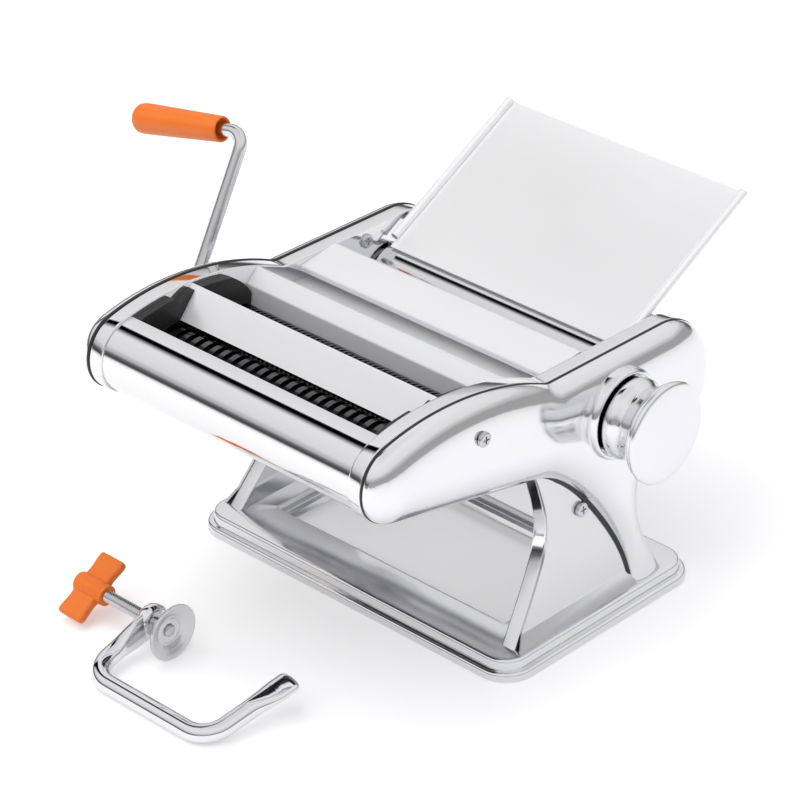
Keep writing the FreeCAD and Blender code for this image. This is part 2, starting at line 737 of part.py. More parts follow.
def edges_at_height(shape, height):
    """Names of the edges that lie flat at one height."""
    names = []
    for number, edge in enumerate(shape.Edges, start=1):
        box = edge.BoundBox
        if abs(box.ZMin - height) < TINY and abs(box.ZMax - height) < TINY:
            names.append(f"Edge{number}")
    return names


def draw_well(sketch, margin):
    """The rectangle inside the rails, grown by a margin."""
    across = f"base_length / 2 - side_rail_width + {margin}"
    along = f"base_depth / 2 - rail_width + {margin}"
    draw_polygon(
        sketch,
        [
            (f"-({across})", f"-({along})"),
            (across, f"-({along})"),
            (across, along),
            (f"-({across})", along),
        ],
    )


def make_base():
    """The pressed base: two steps, hollow below, open in the middle, with a slot for the clamp."""
    body = new_body("base_plate")
    lower = sketch_on(body, "XY_Plane", "base_lower")
    draw_rounded(lower, "base_length / 2", "base_depth / 2", "base_corner")
    pad(body, lower, "rim_height")
    upper = sketch_on(body, "XY_Plane", "base_upper")
    draw_rounded(
        upper, "base_length / 2 - rim_step", "base_depth / 2 - rim_step", "base_corner - rim_step"
    )
    raised = pad(body, upper, "base_height")
    doc.recompute()
    top_edges = edges_at_height(raised.Shape, S.base_height)
    outer_reach = S.base_length / 2 - S.rim_step / 2
    outer_front = S.base_depth / 2 - S.rim_step / 2
    step_outer = []
    for name in edges_at_height(raised.Shape, S.rim_height):
        box = raised.Shape.getElement(name).BoundBox
        far_x = max(abs(box.XMin), abs(box.XMax))
        far_y = max(abs(box.YMin), abs(box.YMax))
        if far_x > outer_reach or far_y > outer_front:
            step_outer.append(name)
    round_off = body.newObject("PartDesign::Fillet", "base_rounding")
    round_off.Base = (raised, top_edges + step_outer)
    bind(round_off, Radius="base_round")
    hollow_low = sketch_on(body, "XY_Plane", "hollow_low")
    draw_rounded(
        hollow_low,
        "base_length / 2 - base_wall",
        "base_depth / 2 - base_wall",
        "base_corner - base_wall",
    )
    draw_well(hollow_low, "base_wall")
    pocket(body, hollow_low, "rim_height - base_wall - base_round / 2", True)
    hollow_high = sketch_on(body, "XY_Plane", "hollow_high")
    draw_rounded(
        hollow_high,
        "base_length / 2 - rim_step - base_wall",
        "base_depth / 2 - rim_step - base_wall",
        "base_corner - rim_step - base_wall",
    )
    draw_well(hollow_high, "base_wall")
    pocket(body, hollow_high, "base_height - base_wall", True)
    well = sketch_on(body, "XY_Plane", "well")
    draw_well(well, "0")
    bind(well, **{"AttachmentOffset.Base.z": "ledge_height"})
    pocket(body, well, "base_height", True)
    under = sketch_on(body, "XY_Plane", "under_ledge")
    draw_well(under, "base_wall / 2")
    pocket(body, under, "ledge_height - base_wall", True)
    opening = sketch_on(body, "XY_Plane", "opening")
    draw_well(opening, "-ledge_width")
    pocket(body, opening, "base_height", True)
    slot = sketch_on(body, "XZ_Plane", "clamp_slot")
    draw_polygon(
        slot,
        [
            ("-slot_width / 2", "slot_low"),
            ("slot_width / 2", "slot_low"),
            ("slot_width / 2", "slot_high"),
            ("-slot_width / 2", "slot_high"),
        ],
    )
    bind(slot, **{"AttachmentOffset.Base.z": "-(base_depth / 2 + 1)"})
    pocket(body, slot, "rim_step + base_wall + 2", False)
    holes = sketch_on(body, "XY_Plane", "foot_holes")
    for x, y in foot_screw_places():
        draw_circle(holes, x, y, "screw_radius")
    pocket(body, holes, "base_height", True)
    keep(body, "base_plate")


def foot_screw_places():
    """Expressions for the four foot screws."""
    shift = "(splay_height - base_height) * tan(splay_angle * 1 deg)"
    x = f"(inside_width / 2 + frame_depth / 2 + {shift})"
    return [
        (f"{side}{x}", y)
        for side in ("", "-")
        for y in ("foot_front_y + foot_screw_inset", "foot_back_y - foot_screw_inset")
    ]


def make_feet():
    """Rubber feet and the screws that hold the legs."""
    feet = []
    for i, (sx, sy) in enumerate(((1, 1), (-1, 1), (-1, -1), (1, -1))):
        feet.append(
            rod_z(
                f"rubber_foot_{i}",
                "pad_foot_radius",
                "base_height - base_wall",
                f"{sx} * (base_length / 2 - pad_foot_inset)",
                f"{sy} * (base_depth / 2 - pad_foot_inset)",
                "0",
            )
        )
    keep(group("rubber_feet_group", feet), "rubber_feet")
    screws = []
    for i, (x, y) in enumerate(foot_screw_places()):
        head = rod_z(
            f"foot_screw_head_{i}",
            "screw_head",
            "head_height",
            x,
            y,
            "base_height - base_wall - head_height",
        )
        shank = rod_z(
            f"foot_screw_shank_{i}",
            "screw_radius",
            "base_wall + rim_wall + head_height",
            x,
            y,
            "base_height - base_wall",
        )
        screws.append(fuse(f"foot_screw_{i}", [head, shank]))
    keep(group("base_screws_group", screws), "base_screws")


# Side frames, covers and leg panels --------------------------------------------------------------------------


def roller_front_y():
    """Y of the front roller's axis at rest."""
    return S.roller_y - 2 * S.roller_radius - S.rest_gap


def wide_front_y():
    """Y of the front wide cutter's axis."""
    return S.wide_y - S.wide_radius - S.wide_core - S.mesh_gap


def narrow_front_y():
    """Y of the front narrow cutter's axis."""
    return S.narrow_y - S.narrow_radius - S.narrow_core - S.mesh_gap


def journals():
    """(y, z, radius on the left, radius on the right) of each shaft that runs in bushes."""
    return [
        (S.wide_y, S.wide_z, S.drive_radius, S.journal_radius),
        (wide_front_y(), S.wide_z, S.journal_radius, S.journal_radius),
        (S.narrow_y, S.narrow_z, S.drive_radius, S.journal_radius),
        (narrow_front_y(), S.narrow_z, S.journal_radius, S.journal_radius),
        (S.roller_y, S.roller_z, S.drive_radius, S.journal_radius),
    ]


def frame_shape(left):
    """The right-hand side frame, or the same with the left one's holes."""
    inner = S.inside_width / 2
    wire = frame_wire(FOOT_SPARE)
    body = slab(wire, inner, S.frame_depth)
    body = body.cut(slab(shrink(wire, S.rim_wall), inner + S.web, S.frame_depth))
    upper = body.common(space((0, BIG), (-BIG, BIG), (S.splay_height, BIG)))
    lower = body.common(space((0, BIG), (-BIG, BIG), (-BIG, S.splay_height)))
    lower = splayed(lower).cut(space((0, BIG), (-BIG, BIG), (-BIG, S.base_height)))
    shift = leg_shift(S.base_height)
    flange = space(
        (inner + shift, inner + shift + S.frame_depth - S.rim_wall / 2),
        (S.foot_front_y + S.rim_wall / 2, S.foot_back_y - S.rim_wall / 2),
        (S.base_height, S.base_height + S.rim_wall),
    )
    body = upper.fuse([lower, flange]).removeSplitter()
    holes = []
    for y, z, left_radius, right_radius in journals():
        radius = (left_radius if left else right_radius) + S.fit_gap + S.bush_wall
        holes.append(cylinder(yz(y, z, inner - 1), AXIS_X, radius, S.web + 2))
    reach = S.roller_journal + S.slide_gap
    y = roller_front_y()
    z = S.roller_z
    holes.append(
        space(
            (inner - 1, inner + S.web + 1),
            (y - reach - S.gap_travel, y + reach + S.gap_travel),
            (z - reach, z + reach),
        )
    )
    reach = S.bar_radius + S.slide_gap
    z = S.roller_z - S.bar_drop
    holes.append(
        space(
            (inner - 1, inner + S.web + 1),
            (y - reach - S.gap_travel, y + reach + S.gap_travel),
            (z - reach, z + reach),
        )
    )
    for y, z in ((S.cover_screw_y, S.cover_screw_z), (S.inner_screw_y, S.inner_screw_z)):
        holes.append(cylinder(yz(y, z, inner - 1), AXIS_X, S.screw_radius, S.web + 2))
    leg_hole = cylinder(
        yz(S.leg_screw_y, S.leg_screw_z, inner - 1), AXIS_X, S.screw_radius, S.web + 2
    )
    holes.append(splayed(leg_hole))
    x = inner + S.frame_depth / 2 + shift
    for y in (S.foot_front_y + S.foot_screw_inset, S.foot_back_y - S.foot_screw_inset):
        holes.append(cylinder(V(x, y, S.base_height - 1), AXIS_Z, S.screw_radius, S.rim_wall + 2))
    return body.cut(holes)


def dome(wire, start, depth, radius):
    """A slab whose far edge is rounded, all but the foot's."""
    solid = slab(wire, start, depth)
    far = start + depth
    foot = solid.BoundBox.ZMin
    edges = []
    for edge in solid.Edges:
        box = edge.BoundBox
        if abs(box.XMin - far) < TINY and abs(box.XMax - far) < TINY and box.ZMax > foot + 1:
            edges.append(edge)
    rounded = solid.makeFillet(radius, edges)
    if not rounded.isValid():
        rounded.fix(SNAP, SNAP, 10 * SNAP)
    return rounded


def cover_shape(left):
    """The right-hand side cover, or the same with the left one's holes."""
    seam = S.inside_width / 2 + S.frame_depth
    wire = cover_wire()
    shell = dome(wire, seam, S.cover_depth, S.cover_round)
    hollow = dome(
        shrink(wire, S.cover_wall),
        seam - 1,
        S.cover_depth - S.cover_wall + 1,
        S.cover_round - S.cover_wall,
    )
    shell = shell.cut(hollow)
    lean = splayed(space((0, seam), (-BIG, BIG), (-BIG, S.splay_height)))
    shell = shell.cut(lean.common(space((0, BIG), (-BIG, BIG), (-BIG, S.splay_height))))
    outside = seam + S.cover_depth
    holes = [
        cylinder(
            yz(S.cover_screw_y, S.cover_screw_z, seam),
            AXIS_X,
            S.screw_radius,
            S.cover_depth + 2,
        )
    ]
    if left:
        for y, z in ((S.wide_y, S.wide_z), (S.narrow_y, S.narrow_z), (S.roller_y, S.roller_z)):
            radius = S.drive_radius + S.bush_wall
            holes.append(cylinder(yz(y, z, seam), AXIS_X, radius, S.cover_depth + 2))
    else:
        y = roller_front_y()
        holes.append(
            cylinder(
                yz(y, S.roller_z, outside - S.cover_wall - 1),
                AXIS_X,
                S.sleeve_radius,
                S.cover_wall + 2,
            )
        )
    return shell.cut(holes)


def panel_shape():
    """The right-hand leg panel with its skirt, inside the arch."""
    seam = S.inside_width / 2 + S.frame_depth
    foot = S.base_height
    outline = frame_wire(FOOT_SPARE)
    plate = slab(outline, seam, S.panel_sheet)
    upper = plate.common(space((0, BIG), (-BIG, BIG), (S.splay_height, BIG)))
    lower = plate.common(space((0, BIG), (-BIG, BIG), (-BIG, S.splay_height)))
    inner = seam + leg_shift(foot)
    top_in = seam + leg_shift(foot + S.skirt_height)
    profile = [
        V(inner, S.foot_front_y, foot),
        V(inner + S.panel_sheet + S.skirt_reach, S.foot_front_y, foot),
        V(top_in + S.panel_sheet, S.foot_front_y, foot + S.skirt_height),
        V(top_in, S.foot_front_y, foot + S.skirt_height),
    ]
    skirt = Part.Face(Part.makePolygon(profile + [profile[0]]))
    skirt = skirt.extrude(V(0, S.arch_foot_y - S.foot_front_y, 0))
    skirt = skirt.common(slab(outline, seam, BIG))
    body = upper.fuse([splayed(lower), skirt])
    behind = space((0, BIG), (S.arch_foot_y, BIG), (-BIG, foot + S.skirt_height))
    below = space((0, BIG), (-BIG, BIG), (-BIG, foot))
    body = body.cut([slab(cover_wire(), 0, BIG), behind, below])
    body = max(body.Solids, key=lambda piece: piece.Volume).removeSplitter()
    hole = cylinder(
        yz(S.leg_screw_y, S.leg_screw_z, seam - 1), AXIS_X, S.screw_radius, S.panel_sheet + 2
    )
    return body.cut(splayed(hole))


def cross_head(start, length):
    """A screw along +X from start: shank, head and cross recess."""
    shank = cylinder(start, AXIS_X, S.screw_radius, length)
    seat = start + V(length, 0, 0)
    head = cylinder(seat, AXIS_X, S.screw_head, S.head_height)
    rim = [e for e in head.Edges if abs(e.CenterOfMass.x - seat.x - S.head_height) < TINY]
    head = head.makeFillet(S.head_height / 2, [e for e in rim if e.Closed])
    arm = S.screw_head * 0.55
    slot = S.screw_radius * 0.2
    deep = (seat.x + S.head_height / 2, seat.x + S.head_height + 1)
    tools = [
        space(deep, (start.y - arm, start.y + arm), (start.z - slot, start.z + slot)),
        space(deep, (start.y - slot, start.y + slot), (start.z - arm, start.z + arm)),
    ]
    return shank.fuse(head).removeSplitter().cut(tools)


def make_sides():
    """Frames, covers, panels and their screws."""
    for name, left in (("left", True), ("right", False)):
        for kind, shape in (
            ("side_frame", frame_shape(left)),
            ("side_cover", cover_shape(left)),
            ("leg_panel", panel_shape()),
        ):
            if left:
                shape = mirrored(shape)
            keep(feature(f"{kind}_{name}_shape", shape), f"{kind}_{name}")
    inner = S.inside_width / 2
    cover_screw = cross_head(
        yz(S.cover_screw_y, S.cover_screw_z, inner), S.frame_depth + S.cover_depth
    )
    keep(
        feature("cover_screw_pair", Part.makeCompound([cover_screw, mirrored(cover_screw)])),
        "cover_screws",
    )
    length = S.frame_depth + S.panel_sheet
    leg_screw = splayed(cross_head(yz(S.leg_screw_y, S.leg_screw_z, inner), length))
    keep(
        feature("leg_screw_pair", Part.makeCompound([leg_screw, mirrored(leg_screw)])), "leg_screws"
    )
    grip = S.web + S.rim_wall
    inner_screw = cross_head(yz(S.inner_screw_y, S.inner_screw_z, -inner - grip), grip)
    keep(
        feature("inner_screw_pair", Part.makeCompound([inner_screw, mirrored(inner_screw)])),
        "inner_screws",
    )


# Shafts, gears and cutters -----------------------------------------------------------------------------------

SOCKET_END = "(inside_width / 2 + frame_depth + cover_depth + socket_out)"
GEAR_END = "(inside_width / 2 + web + gear_gap + gear_width)"
JOURNAL_END = "(inside_width / 2 + web + journal_out)"


def ring_pad(body, name, start, length, radius, y="0", z="0"):
    """A round pad along the body's X axis."""
    sketch = sketch_on(body, "YZ_Plane", name)
    draw_circle(sketch, y, z, radius)
    sketch.setExpression("AttachmentOffset.Base.z", cells(start))
    return pad(body, sketch, length)


def repeat(body, name, original, pitch, count):
    """Copies of a feature along the body's X axis."""
    pattern = body.newObject("PartDesign::LinearPattern", name + "_pattern")
    pattern.Originals = [original]
    pattern.Direction = (plane_of(body, "X_Axis"), [""])
    pattern.Length = 100
    pattern.Occurrences = count
    pattern.setExpression("Length", cells(f"({pitch}) * {count - 1}"))
    body.Tip = pattern
    return pattern


def crank_socket(body, name):
    """The keyed hole for the crank rod in the left end of a driven shaft."""
    hole = sketch_on(body, "YZ_Plane", name + "_socket")
    draw_circle(hole, "0", "0", "socket_radius")
    hole.setExpression("AttachmentOffset.Base.z", cells(f"-{SOCKET_END}"))
    body.Tip = pocket(body, hole, "socket_depth", True)
    key = sketch_on(body, "YZ_Plane", name + "_keyway")
    half = "(key_width / 2 + 2 * fit_gap)"
    top = "(socket_radius + key_height)"
    draw_polygon(key, [(f"-{half}", "0"), (half, "0"), (half, top), (f"-{half}", top)])
    key.setExpression("AttachmentOffset.Base.z", cells(f"-{SOCKET_END}"))
    body.Tip = pocket(body, key, "socket_depth", True)


def shaft(node, y, z, core, discs=None, driven=False):
    """A roll with its journals; discs are (radius, pitch, start, width), and a driven shaft has a socket."""
    body = new_body(node)
    bind(body, y=y, z=z)
    ring_pad(body, node + "_core", "-roll_length / 2", "roll_length", core)
    if discs:
        radius, pitch, start, width = discs
        first = ring_pad(body, node + "_disc", start, width, radius)
        count = int(S.roll_length / S.named(pitch))
        repeat(body, node, first, pitch, count)
    left = SOCKET_END if driven else GEAR_END
    left_radius = "drive_radius" if driven else "journal_radius"
    reach = f"{left} - roll_length / 2"
    ring_pad(body, node + "_left", f"-{left}", reach, left_radius)
    reach = f"{JOURNAL_END} - roll_length / 2"
    body.Tip = ring_pad(body, node + "_right", "roll_length / 2", reach, "journal_radius")
    if driven:
        crank_socket(body, node)
    keep(body, node)


def gear_shape(centre, phase, pitch_radius, teeth, addendum, dedendum, bore):
    """A spur gear across X; phase is the angle of one tooth's middle."""
    pressure = math.radians(S.pressure_angle)
    base = pitch_radius * math.cos(pressure)
    tip = pitch_radius + addendum
    root = pitch_radius - dedendum

    def involute(angle):
        return math.tan(angle) - angle

    half = math.pi / (2 * teeth) - S.backlash / (4 * pitch_radius)
    flank_start = max(base, root)
    steps = 4
    flank = []
    if root < base:
        flank.append((root, half + involute(pressure)))
    for i in range(steps + 1):
        radius = flank_start + (tip - flank_start) * i / steps
        roll = math.acos(min(1.0, base / radius))
        flank.append((radius, half + involute(pressure) - involute(roll)))
    points = []
    for tooth in range(int(teeth)):
        middle = phase + 2 * math.pi * tooth / teeth
        for radius, angle in flank:
            points.append((radius, middle - angle))
        for radius, angle in reversed(flank):
            points.append((radius, middle + angle))
    x = gear_x()
    corners = [yz(centre[0] + r * math.cos(a), centre[1] + r * math.sin(a), x) for r, a in points]
    blank = Part.Face(Part.makePolygon(corners + [corners[0]])).extrude(V(S.gear_width, 0, 0))
    return blank.cut(cylinder(yz(centre[0], centre[1], x - 1), AXIS_X, bore, S.gear_width + 2))


def gear_x():
    """X where the gears start, on the left."""
    return -(S.inside_width / 2 + S.web + S.gear_gap + S.gear_width)


def gear_pair(name, rear, front, pitch_radius, teeth, addendum, dedendum, front_bore):
    """The end gears of two shafts; rear and front are their axes."""
    size = (pitch_radius, teeth, addendum, dedendum)
    rear_gear = gear_shape(rear, math.pi, *size, S.drive_radius)
    front_gear = gear_shape(front, math.pi / teeth, *size, front_bore)
    keep(feature(f"{name}_gear_rear_shape", rear_gear), f"{name}_gear_rear")
    keep(feature(f"{name}_gear_front_shape", front_gear), f"{name}_gear_front")


def make_cutters():
    """The wide and the narrow cutter pair."""
    for name, front_y in (("wide", wide_front_y()), ("narrow", narrow_front_y())):
        width = f"{name}_pitch / 2 - disc_gap"
        start = "-roll_length / 2 + disc_gap / 2"
        rear_discs = (f"{name}_radius", f"{name}_pitch", start, width)
        shifted = f"{start} + {name}_pitch / 2"
        front_discs = (f"{name}_radius", f"{name}_pitch", shifted, width)
        front = f"{name}_y - {name}_radius - {name}_core - mesh_gap"
        height = f"{name}_z"
        shaft(f"{name}_cutter_rear", f"{name}_y", height, f"{name}_core", rear_discs, True)
        shaft(f"{name}_cutter_front", front, height, f"{name}_core", front_discs)
        rear_axis = (S.named(f"{name}_y"), S.named(height))
        front_axis = (front_y, rear_axis[1])
        gear_pair(
            name,
            rear_axis,
            front_axis,
            (rear_axis[0] - front_y) / 2,
            S.cutter_teeth,
            S.cutter_addendum,
            S.cutter_dedendum,
            S.journal_radius,
        )


FRONT_ROLLER = "(roller_y - 2 * roller_radius - rest_gap)"


def make_rollers():
    """The two smooth rollers and their long-toothed gears."""
    shaft("roller_rear", "roller_y", "roller_z", "roller_radius", None, True)
    body = new_body("roller_front")
    bind(body, y=FRONT_ROLLER, z="roller_z")
    ring_pad(body, "roller_front_core", "-roll_length / 2", "roll_length", "roller_radius")
    left = f"({GEAR_END} + block_gap + block_sheet)"
    right = "(inside_width / 2 + web + block_gap + block_sheet)"
    body.Tip = ring_pad(
        body, "roller_front_journal", f"-{left}", f"{left} + {right}", "roller_journal"
    )
    keep(body, "roller_front")
    y = roller_front_y()
    gear_pair(
        "roller",
        (S.roller_y, S.roller_z),
        (y, S.roller_z),
        (S.roller_y - y - S.gap_travel) / 2,
        S.roller_teeth,
        S.roller_addendum,
        S.roller_dedendum,
        S.roller_journal,
    )


def make_bushes():
    """Flanged bushes in the side frames."""
    places = []
    for name in ("wide", "narrow"):
        front = f"{name}_y - {name}_radius - {name}_core - mesh_gap"
        places.append((f"{name}_y", f"{name}_z", "drive_radius"))
        places.append((front, f"{name}_z", "journal_radius"))
    places.append(("roller_y", "roller_z", "drive_radius"))
    bushes = []
    for i, (y, z, left_radius) in enumerate(places):
        for side, radius in (("left", left_radius), ("right", "journal_radius")):
            sign = "-" if side == "left" else ""
            outer = f"{radius} + fit_gap + bush_wall"
            flange_at = "inside_width / 2 - bush_flange"
            sleeve_at = "inside_width / 2"
            if sign:
                flange_at = "-inside_width / 2"
                sleeve_at = "-inside_width / 2 - web - bush_out"
            parts = [
                rod_x(f"bush_flange_{side}_{i}", f"{outer} + bush_lip", "bush_flange", flange_at, y, z),
                rod_x(f"bush_sleeve_{side}_{i}", outer, "web + bush_out", sleeve_at, y, z),
            ]
            whole = fuse(f"bush_{side}_{i}", parts)
            bore_at = f"{sign}inside_width / 2 - bush_length"
            bore = rod_x(
                f"bush_bore_{side}_{i}", f"{radius} + fit_gap", "2 * bush_length", bore_at, y, z
            )
            bushes.append(cut(f"bored_bush_{side}_{i}", whole, [bore]))
    keep(group("bush_group", bushes), "shaft_bushes")


# Roller adjustment -------------------------------------------------------------------------------------------


def block_x_left():
    """Distance of the left bearing block's inner face from the middle, outside the gears."""
    return -gear_x() + S.block_gap


def block_x_right():
    """Distance of the right bearing block's inner face from the middle."""
    return S.inside_width / 2 + S.web + S.block_gap


def cam_x():
    """X of the cam's inner face."""
    return block_x_right() + S.block_sheet + S.cam_gap


def bearing_block(x, wide):
    """A bearing block for the front roller's journal and the cross bar's end."""
    y = roller_front_y()
    z = S.roller_z
    reach = S.follower_offset + S.follower_radius + 1.5 if wide else S.block_half
    drop = S.bar_drop + S.bar_radius + 2
    body = space(
        (x, x + S.block_sheet), (y - reach, y + S.block_half), (z - drop, z + S.block_top)
    )
    holes = [
        cylinder(yz(y, z, x - 1), AXIS_X, S.roller_journal + S.fit_gap, S.block_sheet + 2),
        cylinder(yz(y, z - S.bar_drop, x - 1), AXIS_X, S.bar_radius, S.block_sheet + 2),
    ]
    return body.cut(holes)


def spiral_slot(x, depth):
    """The cam's slot: its radius grows evenly with the knob's turn."""
    rate = S.gap_travel / math.radians(S.knob_range)
    half = S.follower_radius + S.follower_play
    tight_end = S.follower_offset - 1.2 * S.gap_travel
    limit = math.radians(S.knob_range) + 1.1 * half / tight_end
    y = roller_front_y()
    z = S.roller_z

    def side(offset):
        points = []
        steps = 24
        for i in range(steps + 1):
            turn = -limit + 2 * limit * i / steps
            radius = S.follower_offset + rate * turn + offset
            angle = math.pi - turn
            points.append(yz(y + radius * math.cos(angle), z + radius * math.sin(angle), x))
        return points

    outer = Part.BSplineCurve()
    outer.interpolate(side(half))
    inner = Part.BSplineCurve()
    inner.interpolate(list(reversed(side(-half))))
    first, last = side(half)[0], side(half)[-1]
    back, front = side(-half)[-1], side(-half)[0]
    edges = [
        outer.toShape(),
        Part.LineSegment(last, back).toShape(),
        inner.toShape(),
        Part.LineSegment(front, first).toShape(),
    ]
    return Part.Face(Part.Wire(edges)).extrude(V(depth, 0, 0))


def make_adjustment():
    """What moves the front roller: blocks, cross bar, cam and knob shaft."""
    y = roller_front_y()
    z = S.roller_z
    right = bearing_block(block_x_right(), True)
    pin = cylinder(
        yz(y - S.follower_offset, z, block_x_right() + S.block_sheet),
        AXIS_X,
        S.follower_radius,
        S.cam_gap + S.cam_sheet - 0.4,
    )
    keep(feature("bearing_block_right_shape", right.fuse(pin)), "bearing_block_right")
    left = bearing_block(-block_x_left() - S.block_sheet, False)
    keep(feature("bearing_block_left_shape", left), "bearing_block_left")
    start = -block_x_left() - S.block_sheet
    bar = rod_x(
        "carrier_bar_rod",
        "bar_radius",
        f"{block_x_right() + S.block_sheet - start}",
        f"{start}",
        "roller_y - 2 * roller_radius - rest_gap",
        "roller_z - bar_drop",
    )
    keep(bar, "carrier_bar")
    disc = cylinder(yz(y, z, cam_x()), AXIS_X, S.cam_radius, S.cam_sheet)
    disc = disc.cut(spiral_slot(cam_x() - 1, S.cam_sheet + 2))
    keep(feature("spiral_cam_shape", disc), "spiral_cam")
    ring_face = S.inside_width / 2 + S.frame_depth + S.cover_depth + S.boss_height
    shaft_start = cam_x() + S.cam_sheet
    body = cylinder(yz(y, z, shaft_start), AXIS_X, S.knob_shaft_radius, ring_face - shaft_start)
    half = S.knob_square / 2
    end = knob_start() + S.knob_length - 2
    body = body.fuse(space((ring_face, end), (y - half, y + half), (z - half, z + half)))
    head = cylinder(yz(y, z, end), AXIS_X, S.spring_bore - 1, 1.2)
    keep(feature("knob_shaft_shape", body.fuse(head)), "knob_shaft")


def knob_start():
    """X of the knob's inner face."""
    seam = S.inside_width / 2 + S.frame_depth
    return seam + S.cover_depth + S.boss_height + S.knob_gap


def make_dial_ring():
    """The ring on the right cover: bearing for the knob shaft, with a detent hole for each setting."""
    seam = S.inside_width / 2 + S.frame_depth
    face = seam + S.cover_depth
    y = roller_front_y()
    z = S.roller_z
    ring = cylinder(yz(y, z, face), AXIS_X, S.boss_radius, S.boss_height)
    lip = cylinder(yz(y, z, face + S.boss_height), AXIS_X, S.boss_radius, S.knob_gap / 2)
    lip = lip.cut(
        cylinder(yz(y, z, face), AXIS_X, S.boss_radius - S.boss_lip, S.boss_height + S.knob_gap)
    )
    inner_end = cam_x() + S.cam_sheet + 0.3
    sleeve = cylinder(yz(y, z, inner_end), AXIS_X, S.sleeve_radius, face - inner_end)
    body = ring.fuse([lip, sleeve]).removeSplitter()
    holes = [cylinder(yz(y, z, inner_end - 1), AXIS_X, S.knob_shaft_radius + S.fit_gap, 60)]
    count = int(2 * S.knob_range / S.setting_step) + 1
    for i in range(count):
        angle = math.radians(90 - S.knob_range + i * S.setting_step)
        place = yz(
            y + S.detent_radius * math.cos(angle), z + S.detent_radius * math.sin(angle), face + 0.4
        )
        holes.append(cylinder(place, AXIS_X, S.detent_pin + S.detent_play, S.boss_height))
    keep(feature("dial_ring_shape", body.cut(holes)), "dial_ring")


def make_knob():
    """Knob, cap, spring and detent pin."""
    at = f"{knob_start()}"
    y = "roller_y - 2 * roller_radius - rest_gap"
    z = "roller_z"
    profile = [
        ("0", "knob_square / 2"),
        ("0", "knob_base_radius - 1.2"),
        ("1.2", "knob_base_radius"),
        ("5.5", "knob_base_radius"),
        ("8.2", "knob_groove_radius"),
        ("9.6", "knob_groove_radius"),
        ("12", "knob_base_radius - 0.6"),
        ("16", "knob_base_radius + 1.4"),
        ("knob_length - 1.5", "knob_radius - 0.8"),
        ("knob_length", "knob_radius - 0.6"),
        ("knob_length", "spring_bore"),
        ("knob_web", "spring_bore"),
        ("knob_web", "knob_square / 2"),
    ]
    body = turned("knob", profile, at, y, z)
    square = sketch_on(body, "YZ_Plane", "knob_square_hole")
    half = "(knob_square / 2 + fit_gap)"
    draw_polygon(
        square,
        [(f"-{half}", f"-{half}"), (half, f"-{half}"), (half, half), (f"-{half}", half)],
    )
    pocket(body, square, "knob_web", True)
    pin_hole = sketch_on(body, "YZ_Plane", "detent_pin_hole")
    draw_circle(pin_hole, "0", "detent_radius", "detent_pin")
    pocket(body, pin_hole, "5", True)
    keep(body, "knob")
    cap = turned(
        "knob_cap",
        [
            ("0", "0"),
            ("0", "knob_radius"),
            ("cap_sheet - 1", "knob_radius"),
            ("cap_sheet", "knob_radius - 1.2"),
            ("cap_sheet + cap_dome * 0.75", "knob_radius / 2"),
            ("cap_sheet + cap_dome", "0"),
        ],
        f"{knob_start()} + knob_length",
        y,
        z,
    )
    keep(cap, "knob_cap")
    pin = rod_x(
        "detent_pin_rod",
        "detent_pin",
        "5 + knob_gap - detent_play",
        f"{knob_start()} - knob_gap + detent_play",
        y,
        "roller_z + detent_radius",
    )
    keep(pin, "detent_pin")
    start = knob_start() + S.knob_web
    end = knob_start() + S.knob_length - 2
    wire = S.spring_wire / 2
    coil_radius = S.spring_bore - wire - 0.5
    height = end - start - S.spring_wire - 0.1
    helix = Part.makeHelix(height / S.spring_coils, height, coil_radius)
    ring = Part.Wire(Part.Circle(V(coil_radius, 0, 0), AXIS_Y, wire).toShape())
    coil = Part.Wire(helix).makePipeShell([ring], True, True)
    coil.rotate(V(0, 0, 0), AXIS_Y, 90)
    coil.translate(yz(roller_front_y(), S.roller_z, start + wire + 0.05))
    keep(feature("knob_spring_shape", coil), "knob_spring")


# Sheet covers, combs, scrapers and tie rods ------------------------------------------------------------------


def bent_sheet(points, thickness):
    """A sheet across the machine that follows points seen from the side; its thickness is below the line."""
    below = []
    count = len(points)
    for i, (y, z) in enumerate(points):
        normals = []
        for a, b in ((i - 1, i), (i, i + 1)):
            if a >= 0 and b < count:
                dy = points[b][0] - points[a][0]
                dz = points[b][1] - points[a][1]
                long = math.hypot(dy, dz)
                normals.append((dz / long, -dy / long))
        ny = sum(n[0] for n in normals) / len(normals)
        nz = sum(n[1] for n in normals) / len(normals)
        square = ny * ny + nz * nz
        below.append((y + ny * thickness / square, z + nz * thickness / square))
    corners = [yz(*p) for p in points] + [yz(*p) for p in reversed(below)]
    half = S.inside_width / 2
    face = Part.Face(Part.makePolygon(corners + [corners[0]]))
    face.translate(V(-half, 0, 0))
    return face.extrude(V(S.inside_width, 0, 0))


def nose_lip():
    """(y, z) of the nose cover's lip, behind its top edge: its back face and its lower edge."""
    a = math.radians(S.nose_top)
    inner = S.nose_radius - S.nose_inset - S.nose_sheet
    y = S.nose_y + inner * math.cos(a) + S.nose_sheet
    return y, S.nose_z + inner * math.sin(a) - S.nose_lip


